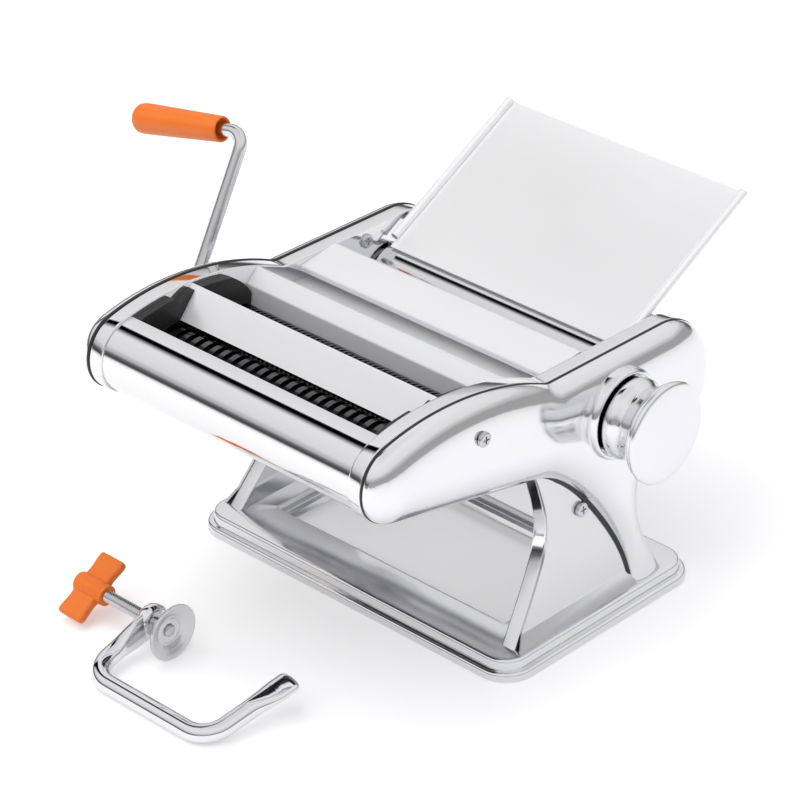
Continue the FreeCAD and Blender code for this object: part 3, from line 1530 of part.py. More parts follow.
def make_plates():
    """Nose cover, guide plates and roller front cover."""
    outer = S.nose_radius - S.nose_inset
    inner = outer - S.nose_sheet
    half = S.inside_width / 2
    centre = (S.nose_y, S.nose_z)
    low = math.degrees(under_start()[0]) % 360

    def on(radius, degrees):
        a = math.radians(degrees)
        return yz(centre[0] + radius * math.cos(a), centre[1] + radius * math.sin(a), -half)

    top = S.nose_top
    lip_y, lip_z = nose_lip()
    lip_out = yz(lip_y, lip_z, -half)
    lip = yz(lip_y - S.nose_sheet, lip_z, -half)
    corner = yz(lip_y, on(outer, top).z, -half)
    edges = [
        Part.Arc(on(outer, top), on(outer, (top + low) / 2), on(outer, low)).toShape(),
        Part.LineSegment(on(outer, low), on(inner, low)).toShape(),
        Part.Arc(on(inner, low), on(inner, (top + low) / 2), on(inner, top)).toShape(),
        Part.LineSegment(on(inner, top), lip).toShape(),
        Part.LineSegment(lip, lip_out).toShape(),
        Part.LineSegment(lip_out, corner).toShape(),
        Part.LineSegment(corner, on(outer, top)).toShape(),
    ]
    nose = Part.Face(Part.Wire(edges)).extrude(V(S.inside_width, 0, 0))
    keep(feature("nose_cover_shape", nose), "nose_cover")
    middle = bent_sheet(
        [
            (S.ramp_y, S.ramp_z),
            (S.ridge_y - 1, S.ridge_z - 0.4),
            (S.ridge_y + 0.6, S.ridge_z),
            (S.ridge_y + 1.6, S.ridge_z - 1),
            (S.ridge_y + 2.6, S.ridge_z - S.lip_drop),
        ],
        S.sheet,
    )
    guides = guide_solid()
    keep(
        feature("guide_plate_middle_shape", middle.cut([guides, mirrored(guides)])),
        "guide_plate_middle",
    )
    rear = bent_sheet(
        [
            (S.chute_y, S.chute_z),
            (S.fold_y, S.fold_z),
            (S.peak_y, S.peak_z),
            (S.peak_y + 1.8, S.peak_z - 0.2),
            (S.trough_y, S.trough_z),
            (S.trough_end_y, S.trough_z - 1.5),
        ],
        S.sheet,
    )
    keep(
        feature("guide_plate_rear_shape", rear.cut([guides, mirrored(guides)])), "guide_plate_rear"
    )
    hood = bent_sheet(
        [
            (S.hood_front_y + 1.2, S.hood_front_z - 3.5),
            (S.hood_front_y, S.hood_front_z),
            (S.hood_top_y, S.hood_top_z),
            (S.hood_top_y + 2.0, S.hood_top_z - 1.2),
            (S.hood_end_y, S.hood_end_z),
        ],
        S.sheet,
    )
    keep(feature("roller_front_cover_shape", hood), "roller_front_cover")
    left_holes = []
    right_holes = []
    for y, z, left_radius, right_radius in journals():
        for holes, radius in ((left_holes, left_radius), (right_holes, right_radius)):
            reach = radius + S.fit_gap + S.bush_wall + S.bush_lip
            holes.append(cylinder(yz(y, z, 0), AXIS_X, reach, S.inside_width))
    for y, z, radius in (
        (S.wide_y, S.wide_z, S.wide_radius),
        (wide_front_y(), S.wide_z, S.wide_radius),
        (S.narrow_y, S.narrow_z, S.narrow_radius),
        (narrow_front_y(), S.narrow_z, S.narrow_radius),
    ):
        roll = cylinder(
            yz(y, z, 0), AXIS_X, radius + S.guide_play, S.roll_length / 2 + S.guide_play
        )
        left_holes.append(roll)
        right_holes.append(roll)
    keep(feature("end_guide_left_shape", mirrored(guides.cut(left_holes))), "end_guide_left")
    keep(feature("end_guide_right_shape", guides.cut(right_holes)), "end_guide_right")


def guide_solid():
    """The black guide at the right-hand end of the cutter wells, with no holes."""
    half = S.inside_width / 2
    x = half - S.guide_sheet
    front = cylinder(
        yz(S.guide_front_y, S.guide_front_z, x), AXIS_X, S.guide_front_radius, S.guide_sheet
    )
    back = cylinder(
        yz(S.guide_back_y, S.guide_back_z, x), AXIS_X, S.guide_back_radius, S.guide_sheet
    )
    front_y = S.nose_y
    link = space(
        (x, half), (front_y, S.guide_back_y), (S.guide_floor, S.guide_front_z - S.guide_front_radius / 2)
    )
    body = front.fuse([back, link])
    inside = slab(shrink(frame_wire(FOOT_SPARE), S.guide_margin + S.nose_sheet), x, S.guide_sheet)
    body = body.common(inside)
    body = body.common(
        space((x, half), (front_y, S.guide_back_y + S.guide_back_radius), (S.guide_floor, BIG))
    )
    tie = cylinder(
        yz(S.front_tie_y, S.front_tie_z, x - 1), AXIS_X, S.tie_radius + S.guide_play, S.guide_sheet + 2
    )
    lip_y, lip_z = nose_lip()
    lip = space((x - 1, half + 1), (-BIG, lip_y + S.guide_play), (lip_z - S.guide_play, BIG))
    return body.cut([tie, lip]).removeSplitter()


def comb(node, y, z, size, groove, nip):
    """A stripper comb below a cutter: a bar between the frames, and a finger up into each groove.

    size is the cutter's name, groove where its first groove starts, nip the side of its partner.
    """
    body = new_body(node)
    bind(body, y=y, z=z)
    half = "comb_sheet / 2"
    top = f"({size}_radius + comb_drop)"
    bar = sketch_on(body, "YZ_Plane", node + "_bar")
    draw_polygon(
        bar,
        [
            (f"-{half}", f"-{top} - comb_height"),
            (half, f"-{top} - comb_height"),
            (half, f"-{top}"),
            (f"-{half}", f"-{top}"),
        ],
    )
    pad(body, bar, "inside_width", True)
    reach = f"({size}_core + finger_gap)"
    finger = sketch_on(body, "YZ_Plane", node + "_finger")
    draw_polygon(
        finger,
        [
            (f"-{nip} * {half}", f"-{top} - comb_height / 2"),
            (f"{nip} * {half}", f"-{top} - comb_height / 2"),
            (
                f"{nip} * {reach} * finger_reach * sin(finger_lean * 1 deg)",
                f"-{reach} * finger_reach * cos(finger_lean * 1 deg)",
            ),
            ("0", f"-{reach} * finger_reach"),
        ],
    )
    finger.setExpression(
        "AttachmentOffset.Base.z", cells(f"{groove} - disc_gap / 2 + finger_gap")
    )
    first = pad(body, finger, f"{size}_pitch / 2 + disc_gap - 2 * finger_gap")
    count = int(S.roll_length / S.named(f"{size}_pitch"))
    repeat(body, node, first, f"{size}_pitch", count)
    keep(body, node)


def make_combs():
    """Stripper combs, one below each cutter."""
    for name in ("wide", "narrow"):
        height = f"{name}_z"
        front = f"{name}_y - {name}_radius - {name}_core - mesh_gap"
        end = "-roll_length / 2"
        comb(f"{name}_comb_rear", f"{name}_y", height, name, f"{end} + {name}_pitch / 2", "-1")
        comb(f"{name}_comb_front", front, height, name, end, "1")


def scraper(y, z, clearance, side):
    """A blade below a roller; side is +1 behind it and -1 in front."""
    reach = S.roller_radius + clearance
    edge = (y + side * reach * 0.5, z - reach * math.sqrt(0.75))
    down = (side * 0.7071, -0.7071)
    across = (side * 0.7071, 0.7071)
    corners = [
        edge,
        (edge[0] + across[0] * S.scraper_sheet, edge[1] + across[1] * 0),
        (
            edge[0] + across[0] * S.scraper_sheet + down[0] * S.scraper_length,
            edge[1] + down[1] * S.scraper_length,
        ),
        (edge[0] + down[0] * S.scraper_length, edge[1] + down[1] * S.scraper_length),
    ]
    points = [yz(*c, -S.inside_width / 2) for c in corners]
    return Part.Face(Part.makePolygon(points + [points[0]])).extrude(V(S.inside_width, 0, 0))


def make_crossings():
    """Scrapers, tie rods and the bar that the tray rests on."""
    front = scraper(roller_front_y(), S.roller_z, S.scraper_gap + S.gap_travel, -1)
    rear = scraper(S.roller_y, S.roller_z, S.scraper_gap, 1)
    keep(feature("scraper_front_shape", front), "scraper_front")
    keep(feature("scraper_rear_shape", rear), "scraper_rear")
    ties = []
    for place in ("front", "middle", "back"):
        ties.append(
            rod_x(
                f"{place}_tie",
                "tie_radius",
                "inside_width",
                "-inside_width / 2",
                f"{place}_tie_y",
                f"{place}_tie_z",
            )
        )
    keep(group("tie_rod_group", ties), "tie_rods")
    y, z = tray_point(S.rest_along, -S.tray_sheet - S.rest_play - S.rest_radius)
    bar = cylinder(yz(y, z, -S.inside_width / 2), AXIS_X, S.rest_radius, S.inside_width)
    keep(feature("tray_rest_shape", bar), "tray_rest_bar")


# Feed tray ---------------------------------------------------------------------------------------------------


def tray_point(along, above):
    """(y, z) of a point on the tray: along its slope, and above its top face."""
    a = math.radians(S.tray_angle)
    return (
        S.tray_low_y + along * math.cos(a) - above * math.sin(a),
        S.tray_low_z + along * math.sin(a) + above * math.cos(a),
    )


def tray_box(x, along, above):
    """A box in the tray's own slope."""
    size = [high - low for low, high in (x, along, above)]
    box = Part.makeBox(*size, V(x[0], along[0], above[0]))
    box.rotate(V(0, 0, 0), AXIS_X, S.tray_angle)
    box.translate(yz(S.tray_low_y, S.tray_low_z))
    return box


def make_tray():
    """The feed tray: sheet, rolled side edges, hem, and hooks over the rest bar."""
    half = S.tray_width / 2
    parts = [tray_box((-half, half), (0, S.tray_length), (-S.tray_sheet, 0))]
    a = math.radians(S.tray_angle)
    slope = V(0, math.cos(a), math.sin(a))
    for side in (-1, 1):
        y, z = tray_point(S.bead_start, -S.tray_sheet / 2)
        start = yz(y, z, side * (half - S.bead_radius))
        parts.append(cylinder(start, slope, S.bead_radius, S.tray_length - S.bead_start))
    parts.append(
        tray_box(
            (-half, half),
            (S.tray_length - S.tray_sheet, S.tray_length),
            (-S.hem_height, 0),
        )
    )
    reach = S.rest_radius + S.hook_play
    for side in (-1, 1):
        middle = side * half / 2
        span = (middle - S.hook_length / 2, middle + S.hook_length / 2)
        for low, high in ((-reach - 1.5, -reach), (reach, reach + 1.5)):
            parts.append(
                tray_box(
                    span,
                    (S.rest_along + low, S.rest_along + high),
                    (-S.tray_sheet - S.rest_radius * 1.3, -S.tray_sheet / 2),
                )
            )
    body = parts[0].fuse(parts[1:]).removeSplitter()
    keep(feature("feed_tray_shape", body), "feed_tray")


# Crank -------------------------------------------------------------------------------------------------------


def socket_end():
    """Distance of a socket's mouth from the middle of the machine."""
    return S.inside_width / 2 + S.frame_depth + S.cover_depth + S.socket_out


def crank_points():
    """Socket end, first corner, handle corner, and the grip's direction."""
    outside = socket_end()
    start = V(-outside + S.crank_plug, S.narrow_y, S.narrow_z)
    corner = V(-outside - S.crank_out, S.narrow_y, S.narrow_z)
    hand = corner + V(0, S.arm_y, S.arm_z)
    arm = (hand - corner).normalize()
    lean = math.radians(S.grip_lean)
    towards = V(-math.cos(lean), 0, 0) - arm * math.sin(lean)
    return start, corner, hand, towards


def make_crank():
    """Crank rod with its key, grip, and the washer that holds the grip."""
    start, corner, hand, towards = crank_points()
    pin_end = hand + towards * (S.grip_start + S.pin_reach)
    rod = pipe([start, corner, hand, pin_end], S.crank_radius, S.crank_bend)
    key = space(
        (-socket_end() + 1, -socket_end() + S.crank_plug - 1),
        (S.narrow_y - S.key_width / 2, S.narrow_y + S.key_width / 2),
        (S.narrow_z, S.narrow_z + S.crank_radius + S.key_height - S.fit_gap),
    )
    keep(feature("crank_rod_shape", rod.fuse(key)), "crank_rod")
    turn = FreeCAD.Rotation(AXIS_X, towards)
    grip_at = hand + towards * S.grip_start
    bore = "crank_radius + fit_gap"
    hollow = "crank_radius + 2"
    grip = turned(
        "crank_grip",
        [
            ("0", bore),
            ("0", "grip_neck - 0.6"),
            ("0.6", "grip_neck"),
            ("grip_length - grip_round", "grip_radius"),
            ("grip_length - grip_round / 3", "grip_radius - grip_round / 4"),
            ("grip_length", "grip_radius - grip_round"),
            ("grip_length", "0"),
            ("pin_reach + washer_sheet + 1", "0"),
            ("pin_reach + washer_sheet + 1", hollow),
            ("pin_reach - 0.3", hollow),
            ("pin_reach - 0.3", bore),
        ],
        "0",
        "0",
        "0",
    )
    for axis in ("x", "y", "z"):
        grip.setExpression("Placement.Base." + axis, None)
    grip.Placement = FreeCAD.Placement(grip_at, turn)
    keep(grip, "crank_grip")
    washer = cylinder(pin_end, towards, S.crank_radius + 1.5, S.washer_sheet)
    keep(feature("grip_washer_shape", washer), "grip_washer")


# Clamp -------------------------------------------------------------------------------------------------------


def clamp_tilt():
    """The clamp leans on its long side and its pad: the plane's angle, in radians."""
    return math.asin((S.pad_radius - S.clamp_radius) / S.clamp_arm)


def clamp_point(x, along, above=0.0):
    """A point in the clamp's leaning plane."""
    a = clamp_tilt()
    return V(
        x,
        S.clamp_y + along * math.cos(a) - above * math.sin(a),
        S.clamp_radius + along * math.sin(a) + above * math.cos(a),
    )


def hook_end():
    """The clamp rod's flattened end, along +Y up to the origin: it grows from round to oval, then closes."""

    def ring(y, across, up):
        if across - up < TINY:
            return Part.Wire(Part.Circle(V(0, y, 0), AXIS_Y, across).toShape())
        oval = Part.Ellipse(V(across, y, 0), V(0, y, up), V(0, y, 0))
        return Part.Wire(oval.toShape())

    across = S.hook_width / 2
    up = S.hook_sheet / 2
    start = -S.hook_flat
    swell = ring(start * S.hook_swell, across, up)
    shank = Part.makeLoft([ring(start, S.clamp_radius, S.clamp_radius), swell], True, True)
    blade = Part.makeLoft([swell, ring(-S.hook_round, across, up)], True, True)
    tip = Part.makeLoft([ring(-S.hook_round, across, up), ring(0, across * 0.7, up * 0.6)], True, True)
    return shank.fuse([blade, tip])


def make_clamp():
    """Clamp rod, screw, wing nut, pad and rivet, lying in front of the machine."""
    tilt = math.degrees(clamp_tilt())
    eye = clamp_point(S.clamp_left, S.clamp_arm)
    splay = math.radians(S.clamp_splay)
    hook_x = S.clamp_right + S.clamp_hook * math.sin(splay)
    hook = clamp_point(hook_x, S.clamp_hook * math.cos(splay))
    left = clamp_point(S.clamp_left, 0)
    right = clamp_point(S.clamp_right, 0)
    bar = pipe([eye, left, right, hook], S.clamp_radius, S.clamp_bend)
    away = (hook - right).normalize()
    half_eye = S.eye_sheet / 2
    trim = space(
        (eye.x + half_eye, eye.x + BIG), (-S.eye_radius * 1.4, BIG), (-BIG, BIG)
    ).fuse(space((eye.x - BIG, eye.x - half_eye), (-S.eye_radius * 1.4, BIG), (-BIG, BIG)))
    trim.rotate(V(0, 0, 0), AXIS_X, tilt)
    trim.translate(V(0, eye.y, eye.z))
    bar = bar.cut(trim.common(space((-BIG, (S.clamp_left + S.clamp_right) / 2), (-BIG, BIG), (-BIG, BIG))))
    ring = cylinder(V(eye.x - half_eye, eye.y, eye.z), AXIS_X, S.eye_radius, S.eye_sheet)
    flat = hook_end()
    end_cut = space((-BIG, BIG), (-S.hook_flat, BIG), (-BIG, BIG)).common(
        space((-2 * S.hook_width, 2 * S.hook_width), (-BIG, BIG), (-2 * S.hook_width, 2 * S.hook_width))
    )
    for piece in (flat, end_cut):
        piece.rotate(V(0, 0, 0), AXIS_Z, -S.clamp_splay)
        piece.rotate(V(0, 0, 0), AXIS_X, tilt)
        piece.translate(hook)
    body = bar.cut(end_cut).fuse([ring, flat]).removeSplitter()
    bore = cylinder(
        V(eye.x - half_eye - 1, eye.y, eye.z), AXIS_X, S.thread_radius + S.thread_play, S.eye_sheet + 2
    )
    keep(feature("clamp_rod_shape", body.cut(bore)), "clamp_rod")
    pad_x = S.screw_reach
    root = S.thread_root
    place = (f"{eye.x}", f"{eye.y}", f"{eye.z}")
    screw_start = -S.screw_back - S.wing_hub_length * 0.6
    profile = [yz(0, eye.z, eye.x + screw_start)]
    profile.append(profile[0] + V(0, 0, root))
    count = int((S.screw_back + pad_x - 2) / S.thread_pitch)
    for i in range(count):
        x = eye.x - S.screw_back + i * S.thread_pitch
        profile.append(V(x, 0, eye.z + root))
        profile.append(V(x + S.thread_pitch / 2, 0, eye.z + S.thread_radius))
    profile.append(V(eye.x - S.screw_back + count * S.thread_pitch, 0, eye.z + root))
    profile.append(V(eye.x + pad_x, 0, eye.z + root))
    profile.append(V(eye.x + pad_x, 0, eye.z))
    face = Part.Face(Part.makePolygon(profile + [profile[0]]))
    face.translate(V(0, eye.y, 0))
    screw = face.revolve(V(0, eye.y, eye.z), AXIS_X, 360)
    keep(feature("clamp_screw_shape", screw), "clamp_screw")
    hub_start = eye.x - S.screw_back - S.wing_hub_length
    hub = cylinder(V(hub_start, eye.y, eye.z), AXIS_X, S.wing_hub, S.wing_hub_length)
    wings = Part.makeBox(
        S.wing_width,
        2 * S.wing_span,
        S.wing_sheet,
        V(0, -S.wing_span, -S.wing_sheet / 2),
    )
    upright = [e for e in wings.Edges if abs(e.Length - S.wing_sheet) < TINY]
    wings = wings.makeFillet(S.wing_width / 6, upright)
    wings.rotate(V(0, 0, 0), AXIS_X, S.wing_tilt)
    wings.translate(V(hub_start + S.wing_start, eye.y, eye.z))
    hole = cylinder(
        V(eye.x + screw_start, eye.y, eye.z), AXIS_X, root, S.wing_hub_length * 2
    )
    keep(feature("wing_nut_shape", hub.fuse(wings).removeSplitter().cut(hole)), "wing_nut")
    pad_body = turned(
        "clamp_pad",
        [
            ("0", "thread_radius / 2 + fit_gap"),
            ("0", "pad_radius * 0.45"),
            ("pad_dish", "pad_radius - 0.8"),
            ("pad_dish + 0.4", "pad_radius"),
            ("pad_dish + pad_sheet", "pad_radius - 0.4"),
            ("pad_sheet", "pad_radius * 0.42"),
            ("pad_sheet", "thread_radius / 2 + fit_gap"),
        ],
        f"{place[0]} + screw_reach + pad_play",
        place[1],
        place[2],
    )
    keep(pad_body, "clamp_pad")
    rivet = turned(
        "pad_rivet",
        [
            ("0", "0"),
            ("0", "thread_radius / 2"),
            ("pad_sheet + 2 * pad_play", "thread_radius / 2"),
            ("pad_sheet + 2 * pad_play", "thread_radius"),
            ("pad_sheet + 2 * pad_play + rivet_head / 2", "thread_radius"),
            ("pad_sheet + 2 * pad_play + rivet_head * 0.9", "thread_radius * 0.7"),
            ("pad_sheet + 2 * pad_play + rivet_head", "0"),
        ],
        f"{place[0]} + screw_reach",
        place[1],
        place[2],
    )
    keep(rivet, "pad_rivet")


make_base()
make_feet()
make_sides()
make_cutters()
make_rollers()
make_bushes()
make_adjustment()
make_dial_ring()
make_knob()
make_plates()
make_combs()
make_crossings()
make_tray()
make_crank()
make_clamp()
doc.recompute()

for thing in doc.Objects:
    for state in ("Invalid", "Error"):
        if state in thing.State:
            raise RuntimeError(f"{thing.Label} is {state}")
labels = [thing.Label for thing in NODES]
if len(set(labels)) != len(labels):
    raise RuntimeError("two sub-parts share a name")
os.makedirs("parts", exist_ok=True)
for thing in NODES:
    if thing.Shape.isNull() or not thing.Shape.isValid():
        raise RuntimeError(f"{thing.Label} has no valid shape")
for thing in NODES:
    thing.Shape.exportStep(f"parts/{thing.Label}.step")
    solids = len(thing.Shape.Solids)
    print(f"{thing.Label}: {solids} solid(s), {thing.Shape.Volume:.0f} cubic mm")
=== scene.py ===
"""Dresses a hand-cranked pasta machine: polished shells, rollers, cutters, tray, crank and table clamp."""

import json
import logging
import math
from dataclasses import dataclass, field
from enum import Enum
from typing import Callable, Sequence

import bmesh
import bpy
from mathutils import Matrix, Vector
from mathutils.kdtree import KDTree

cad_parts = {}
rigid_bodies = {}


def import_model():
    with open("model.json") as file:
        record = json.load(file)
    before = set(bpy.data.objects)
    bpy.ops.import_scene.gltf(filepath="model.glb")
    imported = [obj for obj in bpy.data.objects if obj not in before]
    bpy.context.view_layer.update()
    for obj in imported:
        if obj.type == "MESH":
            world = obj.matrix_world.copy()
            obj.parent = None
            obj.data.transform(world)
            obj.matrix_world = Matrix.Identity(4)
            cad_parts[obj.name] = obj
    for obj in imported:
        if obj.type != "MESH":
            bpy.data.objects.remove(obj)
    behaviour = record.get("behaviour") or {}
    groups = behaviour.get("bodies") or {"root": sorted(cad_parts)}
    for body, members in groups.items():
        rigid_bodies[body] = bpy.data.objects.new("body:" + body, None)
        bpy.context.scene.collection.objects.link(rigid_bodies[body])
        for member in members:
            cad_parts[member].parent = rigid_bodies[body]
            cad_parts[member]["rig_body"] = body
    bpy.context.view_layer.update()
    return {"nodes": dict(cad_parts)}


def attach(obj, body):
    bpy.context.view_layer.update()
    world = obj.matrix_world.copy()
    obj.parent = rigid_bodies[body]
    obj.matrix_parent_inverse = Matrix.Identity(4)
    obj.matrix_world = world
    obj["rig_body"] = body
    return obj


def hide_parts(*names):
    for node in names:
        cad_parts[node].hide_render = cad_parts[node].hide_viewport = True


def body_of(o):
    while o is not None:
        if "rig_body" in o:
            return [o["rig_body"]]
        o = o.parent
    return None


Pair = tuple[float, float]
Pairs = tuple[Pair, ...]
Mesh = bmesh.types.BMesh
Tree = bpy.types.NodeTree

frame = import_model()

MM = 0.001
LOG = logging.getLogger("pasta_machine")
AXIS_X = Vector((1.0, 0.0, 0.0))
AXIS_Z = Vector((0.0, 0.0, 1.0))

# In millimetres: how deep a surface's relief is, and how near points are to be joined.
RELIEF = 0.05
WELD = 0.02


class Side(Enum):
    """The two ends of the machine, as the sign of X."""

    LEFT = -1
    RIGHT = 1

    @property
    def word(self) -> str:
        """The side's name in lower case."""
        return self.name.lower()


class Grain(Enum):
    """The way a metal was finished."""

    POLISHED = "polished"
    BRUSHED = "brushed"
    TURNED = "turned"
    TUMBLED = "tumbled"


# Shader groups ------------------------------------------------------------------------------------------------


def new_group(name: str, inputs: Sequence[tuple]) -> Tree:
    """Make a shader group with Color, Roughness and Height outputs.

    Args:
        name: The group's name.
        inputs: (socket name, socket type, default) for each input.

    Returns:
        The empty group, with its input and output nodes.
    """
    group = bpy.data.node_groups.new(name, "ShaderNodeTree")
    for label, kind, default in inputs:
        socket = group.interface.new_socket(label, in_out="INPUT", socket_type=kind)
        socket.default_value = default
    for label, kind in (("Color", "NodeSocketColor"), ("Roughness", "NodeSocketFloat"), ("Height", "NodeSocketFloat")):
        group.interface.new_socket(label, in_out="OUTPUT", socket_type=kind)
    group.nodes.new("NodeGroupInput").name = "In"
    group.nodes.new("NodeGroupOutput").name = "Out"
    return group


def wire(tree: Tree, source: tuple, target: tuple) -> None:
    """Link (node, output) to (node, input)."""
    tree.links.new(source[0].outputs[source[1]], target[0].inputs[target[1]])


def add_node(tree: Tree, kind: str, settings: dict | None = None, **options: object) -> bpy.types.Node:
    """Add a shader node.

    Args:
        tree: The node tree.
        kind: The node's kind, without the usual start of its name.
        settings: The value of each input, by its name or number.
        options: The node's own options, which are set first.

    Returns:
        The new node.
    """
    node = tree.nodes.new("ShaderNode" + kind)
    for label, value in options.items():
        setattr(node, label, value)
    for label, value in (settings or {}).items():
        node.inputs[label].default_value = value
    return node


def math_node(tree: Tree, kind: str, first: object, second: object) -> bpy.types.Node:
    """Add a Math node.

    Args:
        tree: The node tree.
        kind: The operation, such as MULTIPLY.
        first: A (node, output) pair or a number.
        second: A (node, output) pair or a number.

    Returns:
        The new node.
    """
    node = add_node(tree, "Math", operation=kind)
    for place, value in enumerate((first, second)):
        if isinstance(value, tuple):
            wire(tree, value, (node, place))
        else:
            node.inputs[place].default_value = value
    return node


def rough_output(group: Tree, change: bpy.types.Node) -> None:
    """Send the group's roughness, with a change added, to its output."""
    rough = math_node(group, "ADD", (group.nodes["In"], "Roughness"), (change, 0))
    rough.use_clamp = True
    wire(group, (rough, 0), (group.nodes["Out"], "Roughness"))


def handling_group() -> Tree:
    """Build the group for the marks of use on metal: fine wiping lines, soft smears and a faint colour drift.

    Returns:
        A group with Color, Roughness and Height outputs.
    """
    group = new_group(
        "Handling",
        [
            ("Color", "NodeSocketColor", (0.8, 0.8, 0.8, 1.0)),
            ("Roughness", "NodeSocketFloat", 0.1),
            ("Smear", "NodeSocketFloat", 0.05),
            ("Stretch", "NodeSocketVector", (1.0, 1.0, 1.0)),
            ("Scale", "NodeSocketFloat", 900.0),
        ],
    )
    nodes = group.nodes
    place = add_node(group, "TexCoord")
    stretch = add_node(group, "VectorMath", operation="MULTIPLY")
    wire(group, (place, "Object"), (stretch, 0))
    wire(group, (nodes["In"], "Stretch"), (stretch, 1))
    lines = add_node(group, "TexNoise", {"Detail": 3.0})
    wire(group, (stretch, 0), (lines, "Vector"))
    wire(group, (nodes["In"], "Scale"), (lines, "Scale"))
    smear = add_node(group, "TexNoise", {"Scale": 28.0, "Detail": 4.0, "Distortion": 0.6})
    wire(group, (place, "Object"), (smear, "Vector"))
    both = math_node(group, "MULTIPLY", (lines, "Fac"), (smear, "Fac"))
    centred = math_node(group, "SUBTRACT", (both, 0), 0.25)
    change = math_node(group, "MULTIPLY", (centred, 0), (nodes["In"], "Smear"))
    rough_output(group, change)
    wire(group, (lines, "Fac"), (nodes["Out"], "Height"))
    shade = add_node(group, "Mix", {7: (0.82, 0.84, 0.87, 1.0)}, data_type="RGBA", blend_type="MULTIPLY")
    drift = math_node(group, "MULTIPLY", (smear, "Fac"), 0.14)
    wire(group, (drift, 0), (shade, "Factor"))
    wire(group, (nodes["In"], "Color"), (shade, 6))
    wire(group, (shade, 2), (nodes["Out"], "Color"))
    return group


def moulding_group() -> Tree:
    """Build the group for moulded plastic and rubber: faint cloudiness and a fine skin.

    Returns:
        A group with Color, Roughness and Height outputs.
    """
    group = new_group(
        "Moulding",
        [
            ("Color", "NodeSocketColor", (0.8, 0.3, 0.1, 1.0)),
            ("Deep", "NodeSocketColor", (0.6, 0.2, 0.05, 1.0)),
            ("Roughness", "NodeSocketFloat", 0.35),
            ("Scale", "NodeSocketFloat", 1800.0),
        ],
    )
    nodes = group.nodes
    place = add_node(group, "TexCoord")
    cloud = add_node(group, "TexNoise", {"Scale": 60.0, "Detail": 3.0})
    wire(group, (place, "Object"), (cloud, "Vector"))
    skin = add_node(group, "TexNoise", {"Detail": 2.0})
    wire(group, (place, "Object"), (skin, "Vector"))
    wire(group, (nodes["In"], "Scale"), (skin, "Scale"))
    mix = add_node(group, "Mix", data_type="RGBA")
    wire(group, (cloud, "Fac"), (mix, "Factor"))
    wire(group, (nodes["In"], "Color"), (mix, 6))
    wire(group, (nodes["In"], "Deep"), (mix, 7))
    wire(group, (mix, 2), (nodes["Out"], "Color"))
    change = math_node(group, "MULTIPLY", (cloud, "Fac"), 0.12)
    rough_output(group, change)
    wire(group, (skin, "Fac"), (nodes["Out"], "Height"))
    return group


GROUPS: dict[str, Tree] = {}


# Finishes -----------------------------------------------------------------------------------------------------


@dataclass(frozen=True)
class Finish:
    """A surface that a piece can have."""

    name: str
    slot: str
    color: tuple[float, float, float]

    def material(self) -> bpy.types.Material:
        """The finish's material, made once."""
        return bpy.data.materials.get(self.name) or self.make()

    def make(self) -> bpy.types.Material:
        """Make the material."""
        raise NotImplementedError

    def marked(self, group: str, settings: dict, bump: float) -> tuple[bpy.types.Material, bpy.types.Node]:
        """Make a material whose colour, gloss and relief come from a shader group.

        Args:
            group: The group's name among the groups.
            settings: The group's inputs besides the colour.
            bump: Strength of the relief, or 0.

        Returns:
            The material and its shader.
        """
        material = bpy.data.materials.new(self.name)
        material.use_nodes = True
        tree = material.node_tree
        shader = tree.nodes["Principled BSDF"]
        marks = add_node(tree, "Group", node_tree=GROUPS[group])
        for label, value in {"Color": (*self.color, 1.0), **settings}.items():
            marks.inputs[label].default_value = value
        wire(tree, (marks, "Color"), (shader, "Base Color"))
        wire(tree, (marks, "Roughness"), (shader, "Roughness"))
        if bump > 0:
            relief = add_node(tree, "Bump", {"Strength": bump, "Distance": RELIEF * MM})
            wire(tree, (marks, "Height"), (relief, "Height"))
            wire(tree, (relief, "Normal"), (shader, "Normal"))
        return material, shader


@dataclass(frozen=True)
class MetalFinish(Finish):
    """A worked metal surface."""

    roughness: float
    smear: float
    grain: Grain = Grain.POLISHED
    bump: float = 0.0
    stretch: tuple[float, float, float] = (1.0, 1.0, 1.0)
    scale: float = 900.0
    metallic: float = 1.0

    def make(self) -> bpy.types.Material:
        """Make the material."""
        settings = {"Roughness": self.roughness, "Smear": self.smear, "Stretch": self.stretch, "Scale": self.scale}
        material, shader = self.marked("handling", settings, self.bump)
        shader.inputs["Metallic"].default_value = self.metallic
        if self.grain in (Grain.BRUSHED, Grain.TURNED):
            shader.inputs["Anisotropic"].default_value = 0.35
        return material


@dataclass(frozen=True)
class MouldedFinish(Finish):
    """A moulded plastic or rubber surface."""

    deep: tuple[float, float, float]
    roughness: float
    coat: float = 0.0
    bump: float = 0.05

    def make(self) -> bpy.types.Material:
        """Make the material."""
        settings = {"Deep": (*self.deep, 1.0), "Roughness": self.roughness}
        material, shader = self.marked("moulding", settings, self.bump)
        shader.inputs["Coat Weight"].default_value = self.coat
        shader.inputs["Coat Roughness"].default_value = 0.12
        return material


